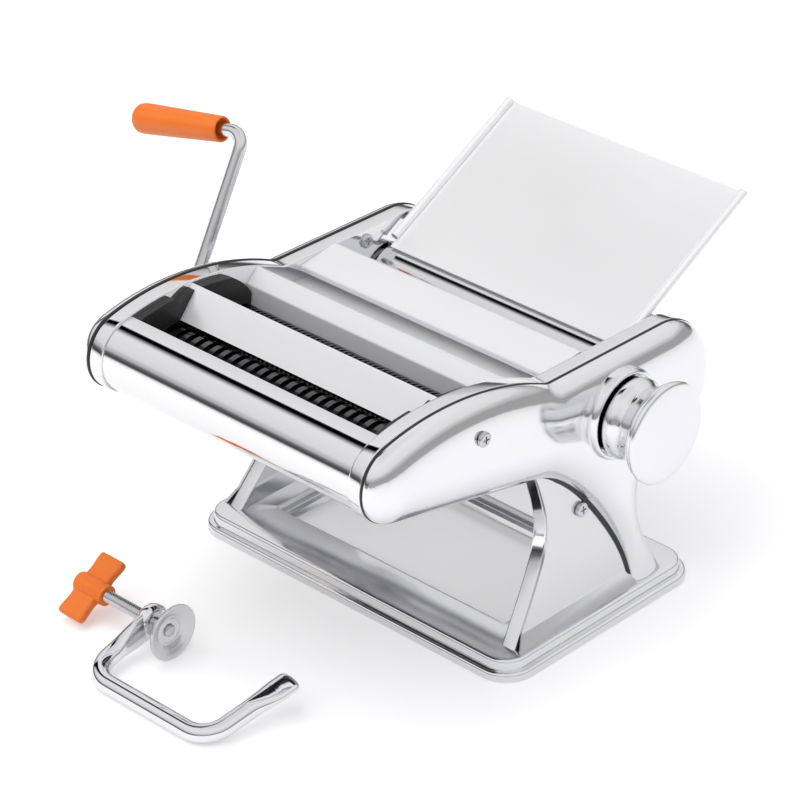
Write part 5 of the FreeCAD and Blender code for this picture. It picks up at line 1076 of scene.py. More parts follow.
@dataclass
class SideShells:
    """Side frames, side covers, leg panels, and the black strip in the seam between them, which paints the seam's
    shade.
    """

    outline: SideOutline = field(default_factory=SideOutline)
    frame_in: float = 77.0
    seam: float = 84.75
    rim: Pairs = (
        (77.0, 0.9), (77.05, 0.5), (77.25, 0.2), (77.6, 0.04), (78.1, 0.0), (83.8, 0.0), (84.3, 0.07),
        (84.62, 0.28), (84.75, 0.7), (84.75, 1.7), (79.0, 1.7),
    )
    cover_lip: Pairs = ((86.15, 0.45), (86.2, 0.12), (86.4, 0.0))
    dome_rows: tuple[float, ...] = (0.02, 0.06, 0.15, 0.3, 0.5, 0.8, 1.2, 1.7, 2.3, 3.0, 3.9, 5.0)
    grid: float = 3.0
    sheet: float = 1.2
    panel_face: float = 86.0
    skirt: float = 8.0
    skirt_reach: float = 2.6
    skirt_round: float = 0.8
    skirt_step: float = 0.35
    lean_cuts: tuple[float, ...] = (86.0, 82.0, 78.0, 74.0, 70.0, 66.0, 62.0, 58.0, 54.0, 50.0, 46.0, 42.0, 38.0)
    # Where the black seam strip is pushed out along the arch, to paint the shadow under the cover's lower edge.
    arch_shadow: Pair = (-1.0, -0.7)
    shadow_end: Pair = (1.5, -1.0)
    shadow_run: float = 8.0
    shadow_start: float = 84.8
    shadow_face: float = 86.2
    shadow_depth: float = 0.3
    # Rows of the black strip that paints the shade in the seam between cover and frame.
    liner: Pairs = (
        (84.4, 1.6), (84.9, -0.1), (85.3, -0.35), (85.9, -0.35), (86.3, -0.1), (87.2, 0.9), (87.2, 2.2),
        (84.4, 2.2), (84.4, 1.6),
    )
    drive_holes: Pairs = ((-104.5, 126.0), (-61.0, 120.0), (41.3, 109.0))
    drive_hole: float = 8.1
    hole_clear: float = 6.0
    hole_sides: int = 32
    fineness: int = 20
    pointer_y: float = 12.8
    pointer_half: float = 0.6
    pointer_rows: int = 9
    pointer_start: float = 0.25
    pointer_step: float = 0.42
    pointer_lift: float = 0.25
    pointer_wall: float = 0.5

    def leaned(self, bm: Mesh) -> Mesh:
        """Lean the leg outwards."""
        for vert in bm.verts:
            vert.co.x += self.outline.lean(vert.co.z / MM) * MM
        return bm

    def cut_foot(self, bm: Mesh, close: bool) -> None:
        """Cut a shell off at its foot, and close the cut if asked."""
        bmesh.ops.bisect_plane(
            bm,
            geom=whole(bm),
            plane_co=point(0, 0, self.outline.foot),
            plane_no=AXIS_Z,
            clear_inner=True,
        )
        if close:
            near = [v for v in bm.verts if abs(v.co.z - self.outline.foot * MM) < 1e-5]
            bmesh.ops.remove_doubles(bm, verts=near, dist=WELD * MM)
            for ring in edge_rings([e for e in bm.edges if e.is_boundary]):
                fill_ring(bm, ring)
            outwards(bm)

    def frame_shape(self) -> Mesh:
        """The right-hand frame: a deep rim round a flat web."""
        bm = curve_mesh(self.outline.side_frame(), self.frame_in, True, self.fineness)
        first = bm.edges[:]
        last, _ = ring_rows(bm, self.rim)
        fill_ring(bm, first)
        fill_ring(bm, last)
        outwards(bm)
        cut_grid(bm, whole(bm), 2, self.lean_cuts)
        self.cut_foot(bm, True)
        return self.leaned(bm)

    def liner_shape(self) -> Mesh:
        """The black strip in the seam, which paints the shade in the groove and, pushed out along the arch, the shadow
        under the cover's lower edge.
        """
        bm = curve_mesh(self.outline.cover(), self.seam, True, self.fineness)
        _, insets = ring_rows(bm, self.liner)
        high = self.outline.arch[0][1] + self.shadow_end[1]
        back = self.outline.arch[-1][0] + self.shadow_end[0]
        for vert, inset in insets.items():
            if inset < 1.0 and vert.co.z < high * MM and vert.co.y < back * MM:
                ease = min(1.0, (high - vert.co.z / MM) / self.shadow_run)
                vert.co.y += self.arch_shadow[0] * ease * MM
                vert.co.z += self.arch_shadow[1] * ease * MM
                over = vert.co.x / MM - self.shadow_start
                if over > 0:
                    vert.co.x = (self.shadow_face + self.shadow_depth * over) * MM
        bmesh.ops.remove_doubles(bm, verts=bm.verts, dist=0.001 * MM)
        outwards(bm)
        self.cut_foot(bm, True)
        return self.leaned(bm)

    def open_hole(self, bm: Mesh, faces: list, centre: Pair) -> list:
        """Cut a round hole in flat faces.

        Args:
            bm: The bmesh.
            faces: The faces that may be cut.
            centre: (y, z) of the hole.

        Returns:
            The faces left, with the new ones.
        """
        reach = self.drive_hole + self.hole_clear
        near = [f for f in faces if any(math.dist((v.co.y / MM, v.co.z / MM), centre) < reach for v in f.verts)]
        rest = [face for face in faces if face not in set(near)]
        geometry = near + [e for f in near for e in f.edges] + [v for f in near for v in f.verts]
        geometry = list(dict.fromkeys(geometry))
        for i in range(self.hole_sides):
            angle = 2 * math.pi * i / self.hole_sides
            normal = Vector((0.0, math.cos(angle), math.sin(angle)))
            spot = point(0, *centre) + normal * self.drive_hole * MM
            geometry = bmesh.ops.bisect_plane(
                bm, geom=geometry, dist=1e-7, plane_co=spot, plane_no=normal
            )["geom"]
        left = []
        inside = []
        for face in of_kind(geometry, bmesh.types.BMFace):
            middle = face.calc_center_median()
            away = math.dist((middle.y / MM, middle.z / MM), centre)
            (inside if away < self.drive_hole * 1.001 else left).append(face)
        bmesh.ops.delete(bm, geom=inside, context="FACES")
        return rest + left

    def cover_shape(self, dome: CoverDome, holes: bool) -> Mesh:
        """The right-hand cover, or the same with the left one's holes."""
        bm = curve_mesh(self.outline.cover(), self.seam, True, self.fineness)
        dome.learn(ring_order(bm))
        rows = [*self.cover_lip, *((self.cover_lip[-1][0], depth) for depth in self.dome_rows)]
        last, insets = ring_rows(bm, rows)
        lip = {v for v in bm.verts if v.co.x < (self.cover_lip[-1][0] - 0.01) * MM}
        border = {v for e in last for v in e.verts}
        face = fill_ring(bm, last)
        outwards(bm)
        geometry = [face, *face.edges, *face.verts]
        spread = [self.grid * i for i in range(-50, 52)]
        geometry = cut_grid(bm, geometry, 1, spread)
        geometry = cut_grid(bm, geometry, 2, [z for z in spread if z >= 0])
        faces = of_kind(geometry, bmesh.types.BMFace)
        if holes:
            for centre in self.drive_holes:
                faces = self.open_hole(bm, faces, centre)
        bmesh.ops.triangulate(bm, faces=[f for f in faces if f.is_valid and len(f.verts) > 4])
        for vert in bm.verts:
            if vert in lip:
                vert.co.x += self.outline.lean(vert.co.z / MM) * MM
                continue
            known = insets.get(vert) if vert not in border else None
            vert.co.x = dome.height(vert.co.y / MM, vert.co.z / MM, known) * MM
        self.cut_foot(bm, False)
        bm.normal_update()
        top = max(bm.faces, key=lambda f: f.calc_center_median().x)
        if top.normal.x < 0:
            bmesh.ops.reverse_faces(bm, faces=bm.faces)
        bm.normal_update()
        return self.walled(bm)

    def walled(self, bm: Mesh) -> Mesh:
        """Give a shell its wall, and level the wall at the foot."""
        bmesh.ops.solidify(bm, geom=bm.faces[:], thickness=self.sheet * MM)
        for vert in bm.verts:
            vert.co.z = max(vert.co.z, self.outline.foot * MM)
        return bm

    def pointer_shape(self, dome: CoverDome) -> Mesh:
        """The small dark pointer over the dial, laid on the cover's top edge."""
        line = []
        for step in range(self.pointer_rows):
            depth = self.pointer_start + self.pointer_step * step
            z = self.outline.top - depth
            line.append(point(dome.height(self.pointer_y, z, depth) + self.pointer_lift, self.pointer_y, z))
        bm, spots, edges = strung(line)
        made = bmesh.ops.extrude_edge_only(bm, edges=edges)["geom"]
        for vert in spots:
            vert.co.y -= self.pointer_half * MM
        for vert in of_kind(made, bmesh.types.BMVert):
            vert.co.y += self.pointer_half * MM
        facing(bm, AXIS_X)
        bmesh.ops.solidify(bm, geom=bm.faces[:], thickness=self.pointer_wall * MM)
        return bm

    def panel_shape(self) -> Mesh:
        """The right-hand leg panel, with a skirt at its foot."""
        bm = curve_mesh(self.outline.panel(), self.panel_face, True, self.fineness)
        fill_ring(bm, bm.edges[:])
        foot = self.outline.foot
        start = foot + self.skirt - self.skirt_round
        heights = (*self.lean_cuts, foot + self.skirt, start)
        cut_grid(bm, whole(bm), 2, heights)
        self.cut_foot(bm, False)
        self.leaned(bm)
        for vert in bm.verts:
            drop = start - vert.co.z / MM
            if drop > -1e-6:
                vert.co.x += (self.skirt_step + self.skirt_reach * drop / self.skirt) * MM
        return self.walled(facing(bm, AXIS_X))

    def build(self) -> None:
        """Build both ends."""
        for side in Side:
            left = side is Side.LEFT
            turn: Callable = opposite if left else (lambda shape: shape)
            dome = CoverDome(self.outline)
            sign = float(side.value)
            BENCH.piece(
                f"side_frame_{side.word}_shell",
                turn(self.frame_shape()),
                POLISHED,
                "machine",
                [f"side_frame_{side.word}"],
                sharp=42.0,
            )
            BENCH.piece(
                f"side_cover_{side.word}_shell",
                turn(self.cover_shape(dome, left)),
                COVER_POLISH,
                "machine",
                [f"side_cover_{side.word}"],
                normals=lambda spot, dome=dome, sign=sign: dome.normal(spot, sign),
            )
            BENCH.piece(
                f"leg_panel_{side.word}_plate",
                turn(self.panel_shape()),
                PANEL_SATIN,
                "machine",
                [f"leg_panel_{side.word}"],
                sharp=25.0,
                bevel=0.35,
            )
            # A black strip that paints the shade in the seam between cover and frame.
            BENCH.piece(f"seam_strip_{side.word}", turn(self.liner_shape()), BLACK, "machine", sharp=40.0)
            if not left:
                BENCH.piece("gap_pointer", self.pointer_shape(dome), BLACK, "machine", sharp=40.0)


# Cutter deck --------------------------------------------------------------------------------------------------


@dataclass
class Deck:
    """Nose cover, guide plates and the roller's front cover, all between the side frames."""

    outline: SideOutline = field(default_factory=SideOutline)
    half: float = 76.95
    nose_radius: float = 18.0
    nose_top: float = 86.0
    nose_wall: float = 1.2
    nose_lip: Pairs = ((-124.6, 147.93), (-124.15, 147.6), (-124.05, 147.0), (-124.05, 145.5))
    sheet: float = 0.9
    middle: Pairs = (
        (-99.5, 138.0), (-89.0, 150.8), (-87.4, 151.2), (-86.4, 150.2), (-85.4, 134.2),
    )
    rear: Pairs = (
        (-54.6, 128.3), (-53.3, 137.2), (-46.5, 143.4), (-44.7, 143.2), (-25.0, 126.8), (-10.0, 125.3),
    )
    hood: Pairs = (
        (-16.8, 129.9), (-18.0, 133.4), (6.0, 136.4), (8.0, 135.2), (11.0, 126.0),
    )

    def nose_shape(self) -> Mesh:
        """The rolled nose cover with its lip."""
        knots = arc_knots(self.outline.nose, self.nose_radius, self.outline.nose_low(), self.nose_top)
        knots += [Knot(y, z) for y, z in self.nose_lip]
        line = curve_mesh(knots, 0.0, False, 20)
        order = sorted(
            ((v.co.y / MM, v.co.z / MM) for v in line.verts),
            key=lambda p: -math.atan2(p[1] - self.outline.nose[1], p[0] - self.outline.nose[0]) % (2 * math.pi),
        )
        line.free()
        start = next(i for i, p in enumerate(order) if math.dist(p, self.nose_lip[-1]) < 0.05)
        order = order[start:] + order[:start]
        return across(order, self.half, Vector((0.0, -1.0, 0.3)))

    def build(self) -> None:
        """Build the deck's sheets."""
        BENCH.piece(
            "nose_cover_shell", self.nose_shape(), POLISHED, "machine", ["nose_cover"], 50.0, 0.0, self.nose_wall
        )
        for name, points, radius in (
            ("guide_plate_middle", self.middle, 0.8),
            ("guide_plate_rear", self.rear, 0.8),
            ("roller_front_cover", self.hood, 1.0),
        ):
            BENCH.piece(
                name + "_sheet",
                across(rounded_profile(points, radius, 4), self.half, AXIS_Z),
                SHEET_POLISH,
                "machine",
                [name],
                50.0,
                0.0,
                self.sheet,
            )
        for side in Side:
            BENCH.refined(f"end_guide_{side.word}", BLACK, 0.5)


@dataclass
class Rolls:
    """The two smooth rollers and the four cutters."""

    radius: float = 13.5
    half: float = 75.0
    height: float = 109.0
    rear: float = 41.3
    front: float = 12.8

    def profile(self, left: tuple[float, float, bool], right: Pair) -> list[Pair]:
        """The section of a roller.

        Args:
            left: Its left end's place and radius, and whether that end has a socket.
            right: Its right end's place and radius.

        Returns:
            (along, radius) of each corner.
        """
        end, journal, socket = left
        points = [(end + 15.0, 0.0), (end + 15.0, 3.35), (end, 3.35)] if socket else [(end, 0.0)]
        points += [(end, journal - 0.6), (end + 0.6, journal), (-self.half, journal)]
        points += [(-self.half, self.radius - 0.5), (-self.half + 0.5, self.radius)]
        points += [(self.half - 0.5, self.radius), (self.half, self.radius - 0.5), (self.half, right[1])]
        return points + [(right[0] - 0.5, right[1]), (right[0], right[1] - 0.5), (right[0], 0.0)]

    def build(self) -> None:
        """Build the rollers and dress the cutters."""
        rear = shifted(spun(self.profile((-98.0, 6.5, True), (83.0, 4.0))), 0, self.rear, self.height)
        front = shifted(spun(self.profile((-93.8, 5.0, False), (86.3, 5.0))), 0, self.front, self.height)
        BENCH.piece("roller_rear_turned", rear, ROLLER_STEEL, "rear_roller", ["roller_rear"])
        BENCH.piece("roller_front_turned", front, ROLLER_STEEL, "front_roller", ["roller_front"])
        # The cutters get the darkened steel that paints the shade of their well.
        for node in ("wide_cutter_rear", "wide_cutter_front", "narrow_cutter_rear", "narrow_cutter_front"):
            BENCH.dressed(node, CUTTER_SHADE_STEEL)
        for node in ("wide_comb_rear", "wide_comb_front", "narrow_comb_rear", "narrow_comb_front"):
            BENCH.dressed(node, BLACK)


# Base ---------------------------------------------------------------------------------------------------------


@dataclass
class Base:
    """The pressed base plate with its stepped rim and open middle."""

    length: float = 205.0
    depth: float = 136.0
    corner: float = 16.0
    rim: Pairs = (
        (8.8, 6.4), (8.4, 4.6), (3.9, 4.4), (3.5, 1.2), (0.0, 1.0), (0.0, 0.3), (0.08, 0.08), (0.3, 0.0),
        (2.8, 0.0), (3.35, 0.1), (3.9, 0.38), (4.3, 0.85), (4.52, 1.4), (4.6, 2.0), (4.6, 2.9), (4.68, 3.12),
        (4.9, 3.2), (8.2, 3.2), (8.75, 3.3), (9.3, 3.6), (9.68, 4.05), (9.92, 4.6), (10.0, 5.2),
    )
    well_half: Pair = (74.5, 39.0)
    well_corner: float = 1.6
    well: Pairs = (
        (10.0, -0.9), (9.9, -0.45), (9.65, -0.12), (9.2, 0.0), (4.8, 0.0), (4.35, 0.12), (4.1, 0.4), (4.0, 0.8),
        (4.0, 6.6), (3.85, 6.9), (3.5, 7.0), (2.8, 7.0), (2.8, 6.2), (3.0, 6.0), (3.0, -0.8), (8.8, -1.2),
        (8.8, -2.0),
    )

    def rounded(self, half_x: float, half_y: float, corner: float) -> list[Knot]:
        """A rounded rectangle's knots, with X as the first number."""
        runs = []
        for cx, cy, start in ((1, 1, 0.0), (-1, 1, 90.0), (-1, -1, 180.0), (1, -1, 270.0)):
            centre = (cx * (half_x - corner), cy * (half_y - corner))
            runs.append(arc_knots(centre, corner, start, start + 90.0))
        return join_knots(*runs)

    def walls(self, half: Pair, corner: float, rows: Sequence[tuple], fine: int) -> tuple:
        """Draw a rounded rectangle into rows.

        Args:
            half: Half its two lengths.
            corner: Its corner radius.
            rows: (height, inset) of each row.
            fine: Edges in half a corner.

        Returns:
            The bmesh, with its height along X, and the heights of its first and last rows.
        """
        bm = curve_mesh(self.rounded(*half, corner), 0.0, True, fine)
        _, insets = ring_rows(bm, rows)
        for vert, inset in insets.items():
            if inset > corner:
                for axis, reach in ((1, half[0]), (2, half[1])):
                    limit = (reach - inset) * MM
                    vert.co[axis] = max(-limit, min(limit, vert.co[axis]))
        bmesh.ops.remove_doubles(bm, verts=bm.verts, dist=0.001 * MM)
        return bm, (rows[0][0], rows[-1][0])

    def build(self) -> None:
        """Build the base, its feet and its screws."""
        bm, (under, top) = self.walls((self.length / 2, self.depth / 2), self.corner, self.rim, 12)
        well, _ = self.walls(self.well_half, self.well_corner, self.well, 6)
        add_mesh(bm, well)
        for level in (top, under):
            loops = [
                e
                for e in bm.edges
                if e.is_boundary and all(abs(v.co.x - level * MM) < 1e-6 for v in e.verts)
            ]
            bmesh.ops.bridge_loops(bm, edges=loops)
        turn = Matrix(((0, 1, 0), (0, 0, 1), (1, 0, 0)))
        bmesh.ops.transform(bm, matrix=turn.to_4x4(), verts=bm.verts)
        outwards(bm)
        BENCH.piece("base_pressing", bm, BASE_POLISH, "machine", ["base_plate"], 60.0)
        BENCH.refined("rubber_feet", RUBBER, 0.4)
        BENCH.refined("base_screws", SCREW_STEEL, 0.2)


# Adjusting knob -----------------------------------------------------------------------------------------------


@dataclass
class AdjustingKnob:
    """The knob with its raised cap, and the ring behind it."""

    axis: Pair = (12.8, 109.0)
    ring: Pairs = (
        (94.0, 8.2), (94.0, 22.3), (97.3, 22.3), (97.9, 22.1), (98.6, 21.7), (99.3, 21.3), (99.65, 20.9),
        (99.75, 20.4), (99.6, 20.0), (99.1, 19.8), (99.0, 19.4), (99.0, 8.2),
    )
    knob_start: float = 100.5
    knob: Pairs = (
        (0.0, 3.6), (0.0, 17.9), (0.3, 18.7), (1.0, 19.3), (2.2, 19.7), (3.8, 19.75), (5.2, 19.4), (6.6, 18.5),
        (7.7, 17.7), (8.6, 17.35), (9.5, 17.4), (10.5, 17.9), (11.8, 18.9), (13.4, 19.9), (15.2, 21.0),
        (17.0, 22.3), (18.4, 23.3), (19.3, 23.75), (20.0, 23.7), (20.3, 23.2), (20.35, 22.4), (20.35, 3.6),
    )
    cap_start: float = 120.9
    cap: Pairs = (
        (0.0, 0.0), (0.0, 22.6), (0.05, 23.6), (0.25, 24.2), (0.7, 24.6), (1.3, 24.7), (1.9, 24.55),
        (2.4, 24.1), (2.75, 23.4), (3.05, 22.3), (3.5, 19.8), (3.95, 16.0), (4.35, 11.5), (4.6, 7.0),
        (4.75, 3.0), (4.8, 0.0),
    )

    def build(self) -> None:
        """Build ring, knob and cap."""
        y, z = self.axis
        BENCH.piece("dial_ring_turned", shifted(spun(self.ring, 96, True), 0, y, z), POLISHED, "machine", ["dial_ring"])
        knob = shifted(spun(self.knob, 120, True), self.knob_start, y, z)
        BENCH.piece("knob_turned", knob, POLISHED, "knob_head", ["knob"], 60.0)
        cap = shifted(spun(self.cap, 120), self.cap_start, y, z)
        BENCH.piece("knob_cap_turned", cap, KNOB_FACE, "knob_head", ["knob_cap"], 75.0)


# Feed tray ----------------------------------------------------------------------------------------------------


@dataclass
class FeedTray:
    """The sloping feed tray with rolled sides and a curled hem."""

    low: Pair = (39.0, 123.8)
    angle: float = 28.4
    length: float = 100.5
    half: float = 74.0
    bead: float = 2.15
    bead_middle: float = 73.2
    bead_start: float = 5.0
    bead_end: float = 99.0
    bead_rise: float = 1.1
    sheet: float = 0.9
    hem: Pairs = ((1.2, -0.25), (1.9, -1.1), (1.8, -2.2), (0.9, -2.9), (-0.4, -2.9))
    hem_reach: float = 1.9
    hook_size: tuple[float, float, float] = (30.0, 1.5, 4.3)
    hook_along: float = 21.0
    hook_apart: float = 3.45
    hook_drop: float = 2.4

    def spot(self, x: float, along: float, above: float) -> Vector:
        """A point on the tray, in millimetres."""
        a = math.radians(self.angle)
        y = self.low[0] + along * math.cos(a) - above * math.sin(a)
        return Vector((x, y, self.low[1] + along * math.sin(a) + above * math.cos(a)))

    def build(self) -> None:
        """Build the tray."""
        end = self.length - self.hem_reach
        line = [(0.0, 0.0), (end, 0.0)] + [(end + along, above) for along, above in self.hem]
        spots = [self.spot(0.0, along, above) for along, above in line]
        bm = across([(p.y, p.z) for p in spots], self.bead_middle - 1.0, AXIS_Z)
        bmesh.ops.solidify(bm, geom=bm.faces[:], thickness=self.sheet * MM)
        for sign in (-1, 1):
            x = sign * self.bead_middle
            ends = [self.spot(x, along, self.bead_rise) for along in (self.bead_start, self.bead_end)]
            add_mesh(bm, tube(ends, self.bead, 5.0, 24))
        for side in (-1, 1):
            for shift in (-self.hook_apart, self.hook_apart):
                hook = bmesh.new()
                bmesh.ops.create_cube(hook, size=1.0)
                bmesh.ops.scale(hook, vec=point(*self.hook_size), verts=hook.verts)
                turn = Matrix.Rotation(math.radians(self.angle), 3, "X")
                bmesh.ops.rotate(hook, cent=(0, 0, 0), matrix=turn, verts=hook.verts)
                place = self.spot(side * self.half / 2, self.hook_along + shift, -self.hook_drop)
                bmesh.ops.translate(hook, verts=hook.verts, vec=place * MM)
                add_mesh(bm, hook)
        BENCH.piece("feed_tray_sheet", bm, TRAY_SHEET, "tray", ["feed_tray"], 35.0)


# Crank --------------------------------------------------------------------------------------------------------


@dataclass
class Crank:
    """The bent crank rod with its orange grip."""

    socket: Vector = field(default_factory=lambda: Vector((-85.0, -61.0, 120.0)))
    corner: Vector = field(default_factory=lambda: Vector((-108.0, -61.0, 120.0)))
    hand: Vector = field(default_factory=lambda: Vector((-108.0, -22.0, 194.0)))
    lean: float = 11.4
    radius: float = 3.25
    bend: float = 7.0
    pin: float = 58.0
    grip_start: float = 14.0
    grip: Pairs = (
        (3.5, 3.35), (3.5, 4.7), (0.6, 5.0), (0.1, 5.3), (0.0, 5.7), (0.25, 6.1), (0.9, 6.3), (12.0, 6.6),
        (30.0, 7.05), (46.0, 7.45), (49.5, 7.45), (51.6, 7.1), (53.0, 6.2), (53.8, 4.6), (54.0, 2.6),
        (54.0, 0.0), (45.5, 0.0), (45.5, 5.25), (43.7, 5.25), (43.7, 3.35),
    )

    def build(self) -> None:
        """Build rod and grip."""
        arm = (self.hand - self.corner).normalized()
        lean = math.radians(self.lean)
        towards = Vector((-math.cos(lean), 0, 0)) - arm * math.sin(lean)
        end = self.hand + towards * self.pin
        rod = tube([self.socket, self.corner, self.hand, end], self.radius, self.bend, 28)
        BENCH.piece("crank_rod_bent", rod, ROD_STEEL, "crank", ["crank_rod"], 50.0)
        grip = aimed(spun(self.grip, 64, True), towards, self.hand + towards * self.grip_start)
        BENCH.piece("crank_grip_moulded", grip, ORANGE, "grip", ["crank_grip"], 50.0)
        BENCH.dressed("grip_washer", ZINC)


# Table clamp --------------------------------------------------------------------------------------------------


@dataclass
class TableClamp:
    """The bent clamp rod with its eye, screw, wing nut and pad, lying in front of the machine."""

    start_y: float = -192.5
    start_z: float = 4.5
    radius: float = 4.6
    bend: float = 13.0
    left: float = -41.0
    right: float = 35.0
    eye_along: float = 40.5
    hook_x: float = 41.6
    hook_along: float = 49.6
    tilt: float = 13.57
    flat: float = 26.0
    flat_run: float = 0.65
    flat_cuts: int = 14
    tip_round: float = 3.0
    tip_cuts: int = 8
    hook_flat: Pair = (6.9, 3.1)
    eye_flat: Pair = (7.6, 3.3)
    screw: Pair = (-82.4, -31.0)
    screw_radius: float = 3.0
    thread: float = 1.25
    thread_depth: float = 0.5
    thread_crest: Pair = (0.42, 0.6)
    wing_place: Pair = (-90.0, 8.5)
    wing_size: tuple[float, float, float] = (15.0, 35.0, 5.0)
    wing_turn: float = 32.0
    wing_round: float = 1.5
    hub: Pairs = (
        (0.0, 0.0), (0.0, 4.4), (0.5, 5.0), (1.5, 5.3), (9.0, 5.5), (15.5, 5.5), (16.2, 5.4), (16.5, 5.2),
        (17.8, 5.2), (18.6, 5.1), (19.0, 5.0), (19.0, 2.6), (3.0, 2.6), (3.0, 0.0),
    )
    eye: Pairs = (
        (-3.6, 3.1), (-3.6, 6.2), (-3.3, 7.2), (-2.6, 8.0), (-1.6, 8.5), (0.0, 8.7), (1.6, 8.5), (2.6, 8.0),
        (3.3, 7.2), (3.6, 6.2), (3.6, 3.1),
    )
    pad: Pairs = (
        (-30.9, 1.6), (-30.9, 5.6), (-30.5, 7.2), (-30.0, 8.4), (-29.0, 10.6), (-28.3, 12.2), (-27.8, 13.3),
        (-27.4, 13.9), (-27.0, 14.0), (-26.6, 13.9), (-26.45, 13.5), (-26.6, 12.9), (-27.3, 11.3), (-28.0, 9.6),
        (-28.5, 8.3), (-29.1, 7.5), (-29.3, 7.0), (-29.2, 6.4), (-28.95, 6.0), (-28.9, 5.5), (-29.1, 4.4),
        (-29.4, 3.3), (-29.45, 1.6),
    )

    def spot(self, x: float, along: float, above: float = 0.0) -> Vector:
        """A point in the clamp's leaning plane, in millimetres."""
        a = math.radians(self.tilt)
        y = self.start_y + along * math.cos(a) - above * math.sin(a)
        return Vector((x, y, self.start_z + along * math.sin(a) + above * math.cos(a)))

    def flattened(
        self, bm: Mesh, start: Vector, tip: Vector, up: Vector, size: Pair, rounded: bool
    ) -> None:
        """Flatten the bar towards a tip.

        Args:
            bm: The bar.
            start: Where the last straight run begins, in millimetres.
            tip: Its end, in millimetres.
            up: The direction across the flat.
            size: Half the flat's width, and half its thickness.
            rounded: Whether the tip is rounded off.
        """
        way = (tip - start).normalized()
        side = way.cross(up).normalized()
        geometry = whole(bm)
        places = [tip - way * self.flat * i / self.flat_cuts for i in range(1, self.flat_cuts + 1)]
        places += [tip - way * self.tip_round * i / self.tip_cuts for i in range(1, self.tip_cuts)]
        for place in places:
            geometry = bmesh.ops.bisect_plane(bm, geom=geometry, plane_co=place * MM, plane_no=way)["geom"]
        for vert in bm.verts:
            gap = vert.co / MM - tip
            back = -gap.dot(way)
            if back > self.flat or gap.length > self.flat + 2 * self.radius:
                continue
            ease = eased((1 - back / self.flat) / self.flat_run)
            wide = 1 + (size[0] / self.radius - 1) * ease
            thick = 1 + (size[1] / self.radius - 1) * ease
            if rounded and back < self.tip_round:
                close = math.sqrt(max(0.0, 1 - (1 - back / self.tip_round) ** 2))
                wide *= 0.35 + 0.65 * close
                thick *= 0.12 + 0.88 * close
            over, along_side = gap.dot(up), gap.dot(side)
            vert.co += (up * over * (thick - 1) + side * along_side * (wide - 1)) * MM

    def thread_profile(self) -> list[Pair]:
        """The section of the screw, with a ridge for each turn of its thread."""
        start, end = self.screw
        root = self.screw_radius - self.thread_depth
        points = [(start, 0.0), (start, root)]
        for turn in range(int((end - start - 3.0) / self.thread)):
            at = start + 1.0 + turn * self.thread
            crest = [(at + share * self.thread, self.screw_radius) for share in self.thread_crest]
            points += [(at, root), *crest]
        return points + [(end - 1.0, root), (end, root - 0.4), (end, 0.0)]

    def wings(self) -> Mesh:
        """The wing nut, about the X axis, starting at its far end."""
        hub = spun(self.hub, 48)
        wing = bmesh.new()
        bmesh.ops.create_cube(wing, size=1.0)
        bmesh.ops.scale(wing, vec=point(*self.wing_size), verts=wing.verts)
        long = [e for e in wing.edges if abs((e.verts[0].co - e.verts[1].co).y) > 1e-4]
        bmesh.ops.subdivide_edges(wing, edges=long, cuts=13, use_grid_fill=True)
        for vert in wing.verts:
            out = abs(vert.co.y) / (self.wing_size[1] / 2 * MM)
            flare = 0.96 + 0.1 * min(1.0, max(0.0, (out - 0.35) / 0.45)) ** 2
            thick = 1.35 - 0.5 * min(1.0, out / 0.5)
            vert.co.x *= flare
            vert.co.z *= max(0.9, thick)
            if out > 0.8:
                vert.co.x *= 1 - 0.05 * (out - 0.8) / 0.2
        corner = [e for e in wing.edges if e.calc_face_angle(0.0) > 0.5]
        bmesh.ops.bevel(
            wing, geom=corner, offset=self.wing_round * MM, affect="EDGES", segments=4, profile=0.5, material=-1
        )
        turn = Matrix.Rotation(math.radians(self.wing_turn), 3, "X")
        bmesh.ops.rotate(wing, cent=(0, 0, 0), matrix=turn, verts=wing.verts)
        return add_mesh(hub, shifted(wing, self.wing_place[1], 0, 0))

    def build(self) -> None:
        """Build the clamp."""
        eye = self.spot(self.left, self.eye_along)
        hook = self.spot(self.hook_x, self.hook_along)
        corner = self.spot(self.right, 0.0)
        rod = tube([eye, self.spot(self.left, 0.0), corner, hook], self.radius, self.bend, 32)
        a = math.radians(self.tilt)
        lift = Vector((0.0, -math.sin(a), math.cos(a)))
        self.flattened(rod, corner, hook, lift, self.hook_flat, True)
        self.flattened(rod, self.spot(self.left, 0.0), eye, AXIS_X, self.eye_flat, False)
        add_mesh(rod, shifted(spun(self.eye, 56, True), eye.x, eye.y, eye.z))
        BENCH.piece("clamp_rod_bent", rod, POLISHED, "clamp", ["clamp_rod"], 50.0)
        pad = shifted(spun(self.pad, 72, True), 0, eye.y, eye.z)
        BENCH.piece("clamp_pad_pressed", pad, PAD_STEEL, "clamp_foot", ["clamp_pad"], 50.0)
        wing = shifted(self.wings(), self.wing_place[0], eye.y, eye.z)
        BENCH.piece("wing_nut_moulded", wing, ORANGE, "clamp_drive", ["wing_nut"], 45.0)
        BENCH.piece(
            "clamp_screw_threaded",
            shifted(spun(self.thread_profile(), 28), 0, eye.y, eye.z),
            THREAD_STEEL,
            "clamp_drive",
            ["clamp_screw"],
            sharp=70.0,
        )
        BENCH.refined("pad_rivet", SCREW_STEEL, 0.1)


# Hidden works -------------------------------------------------------------------------------------------------


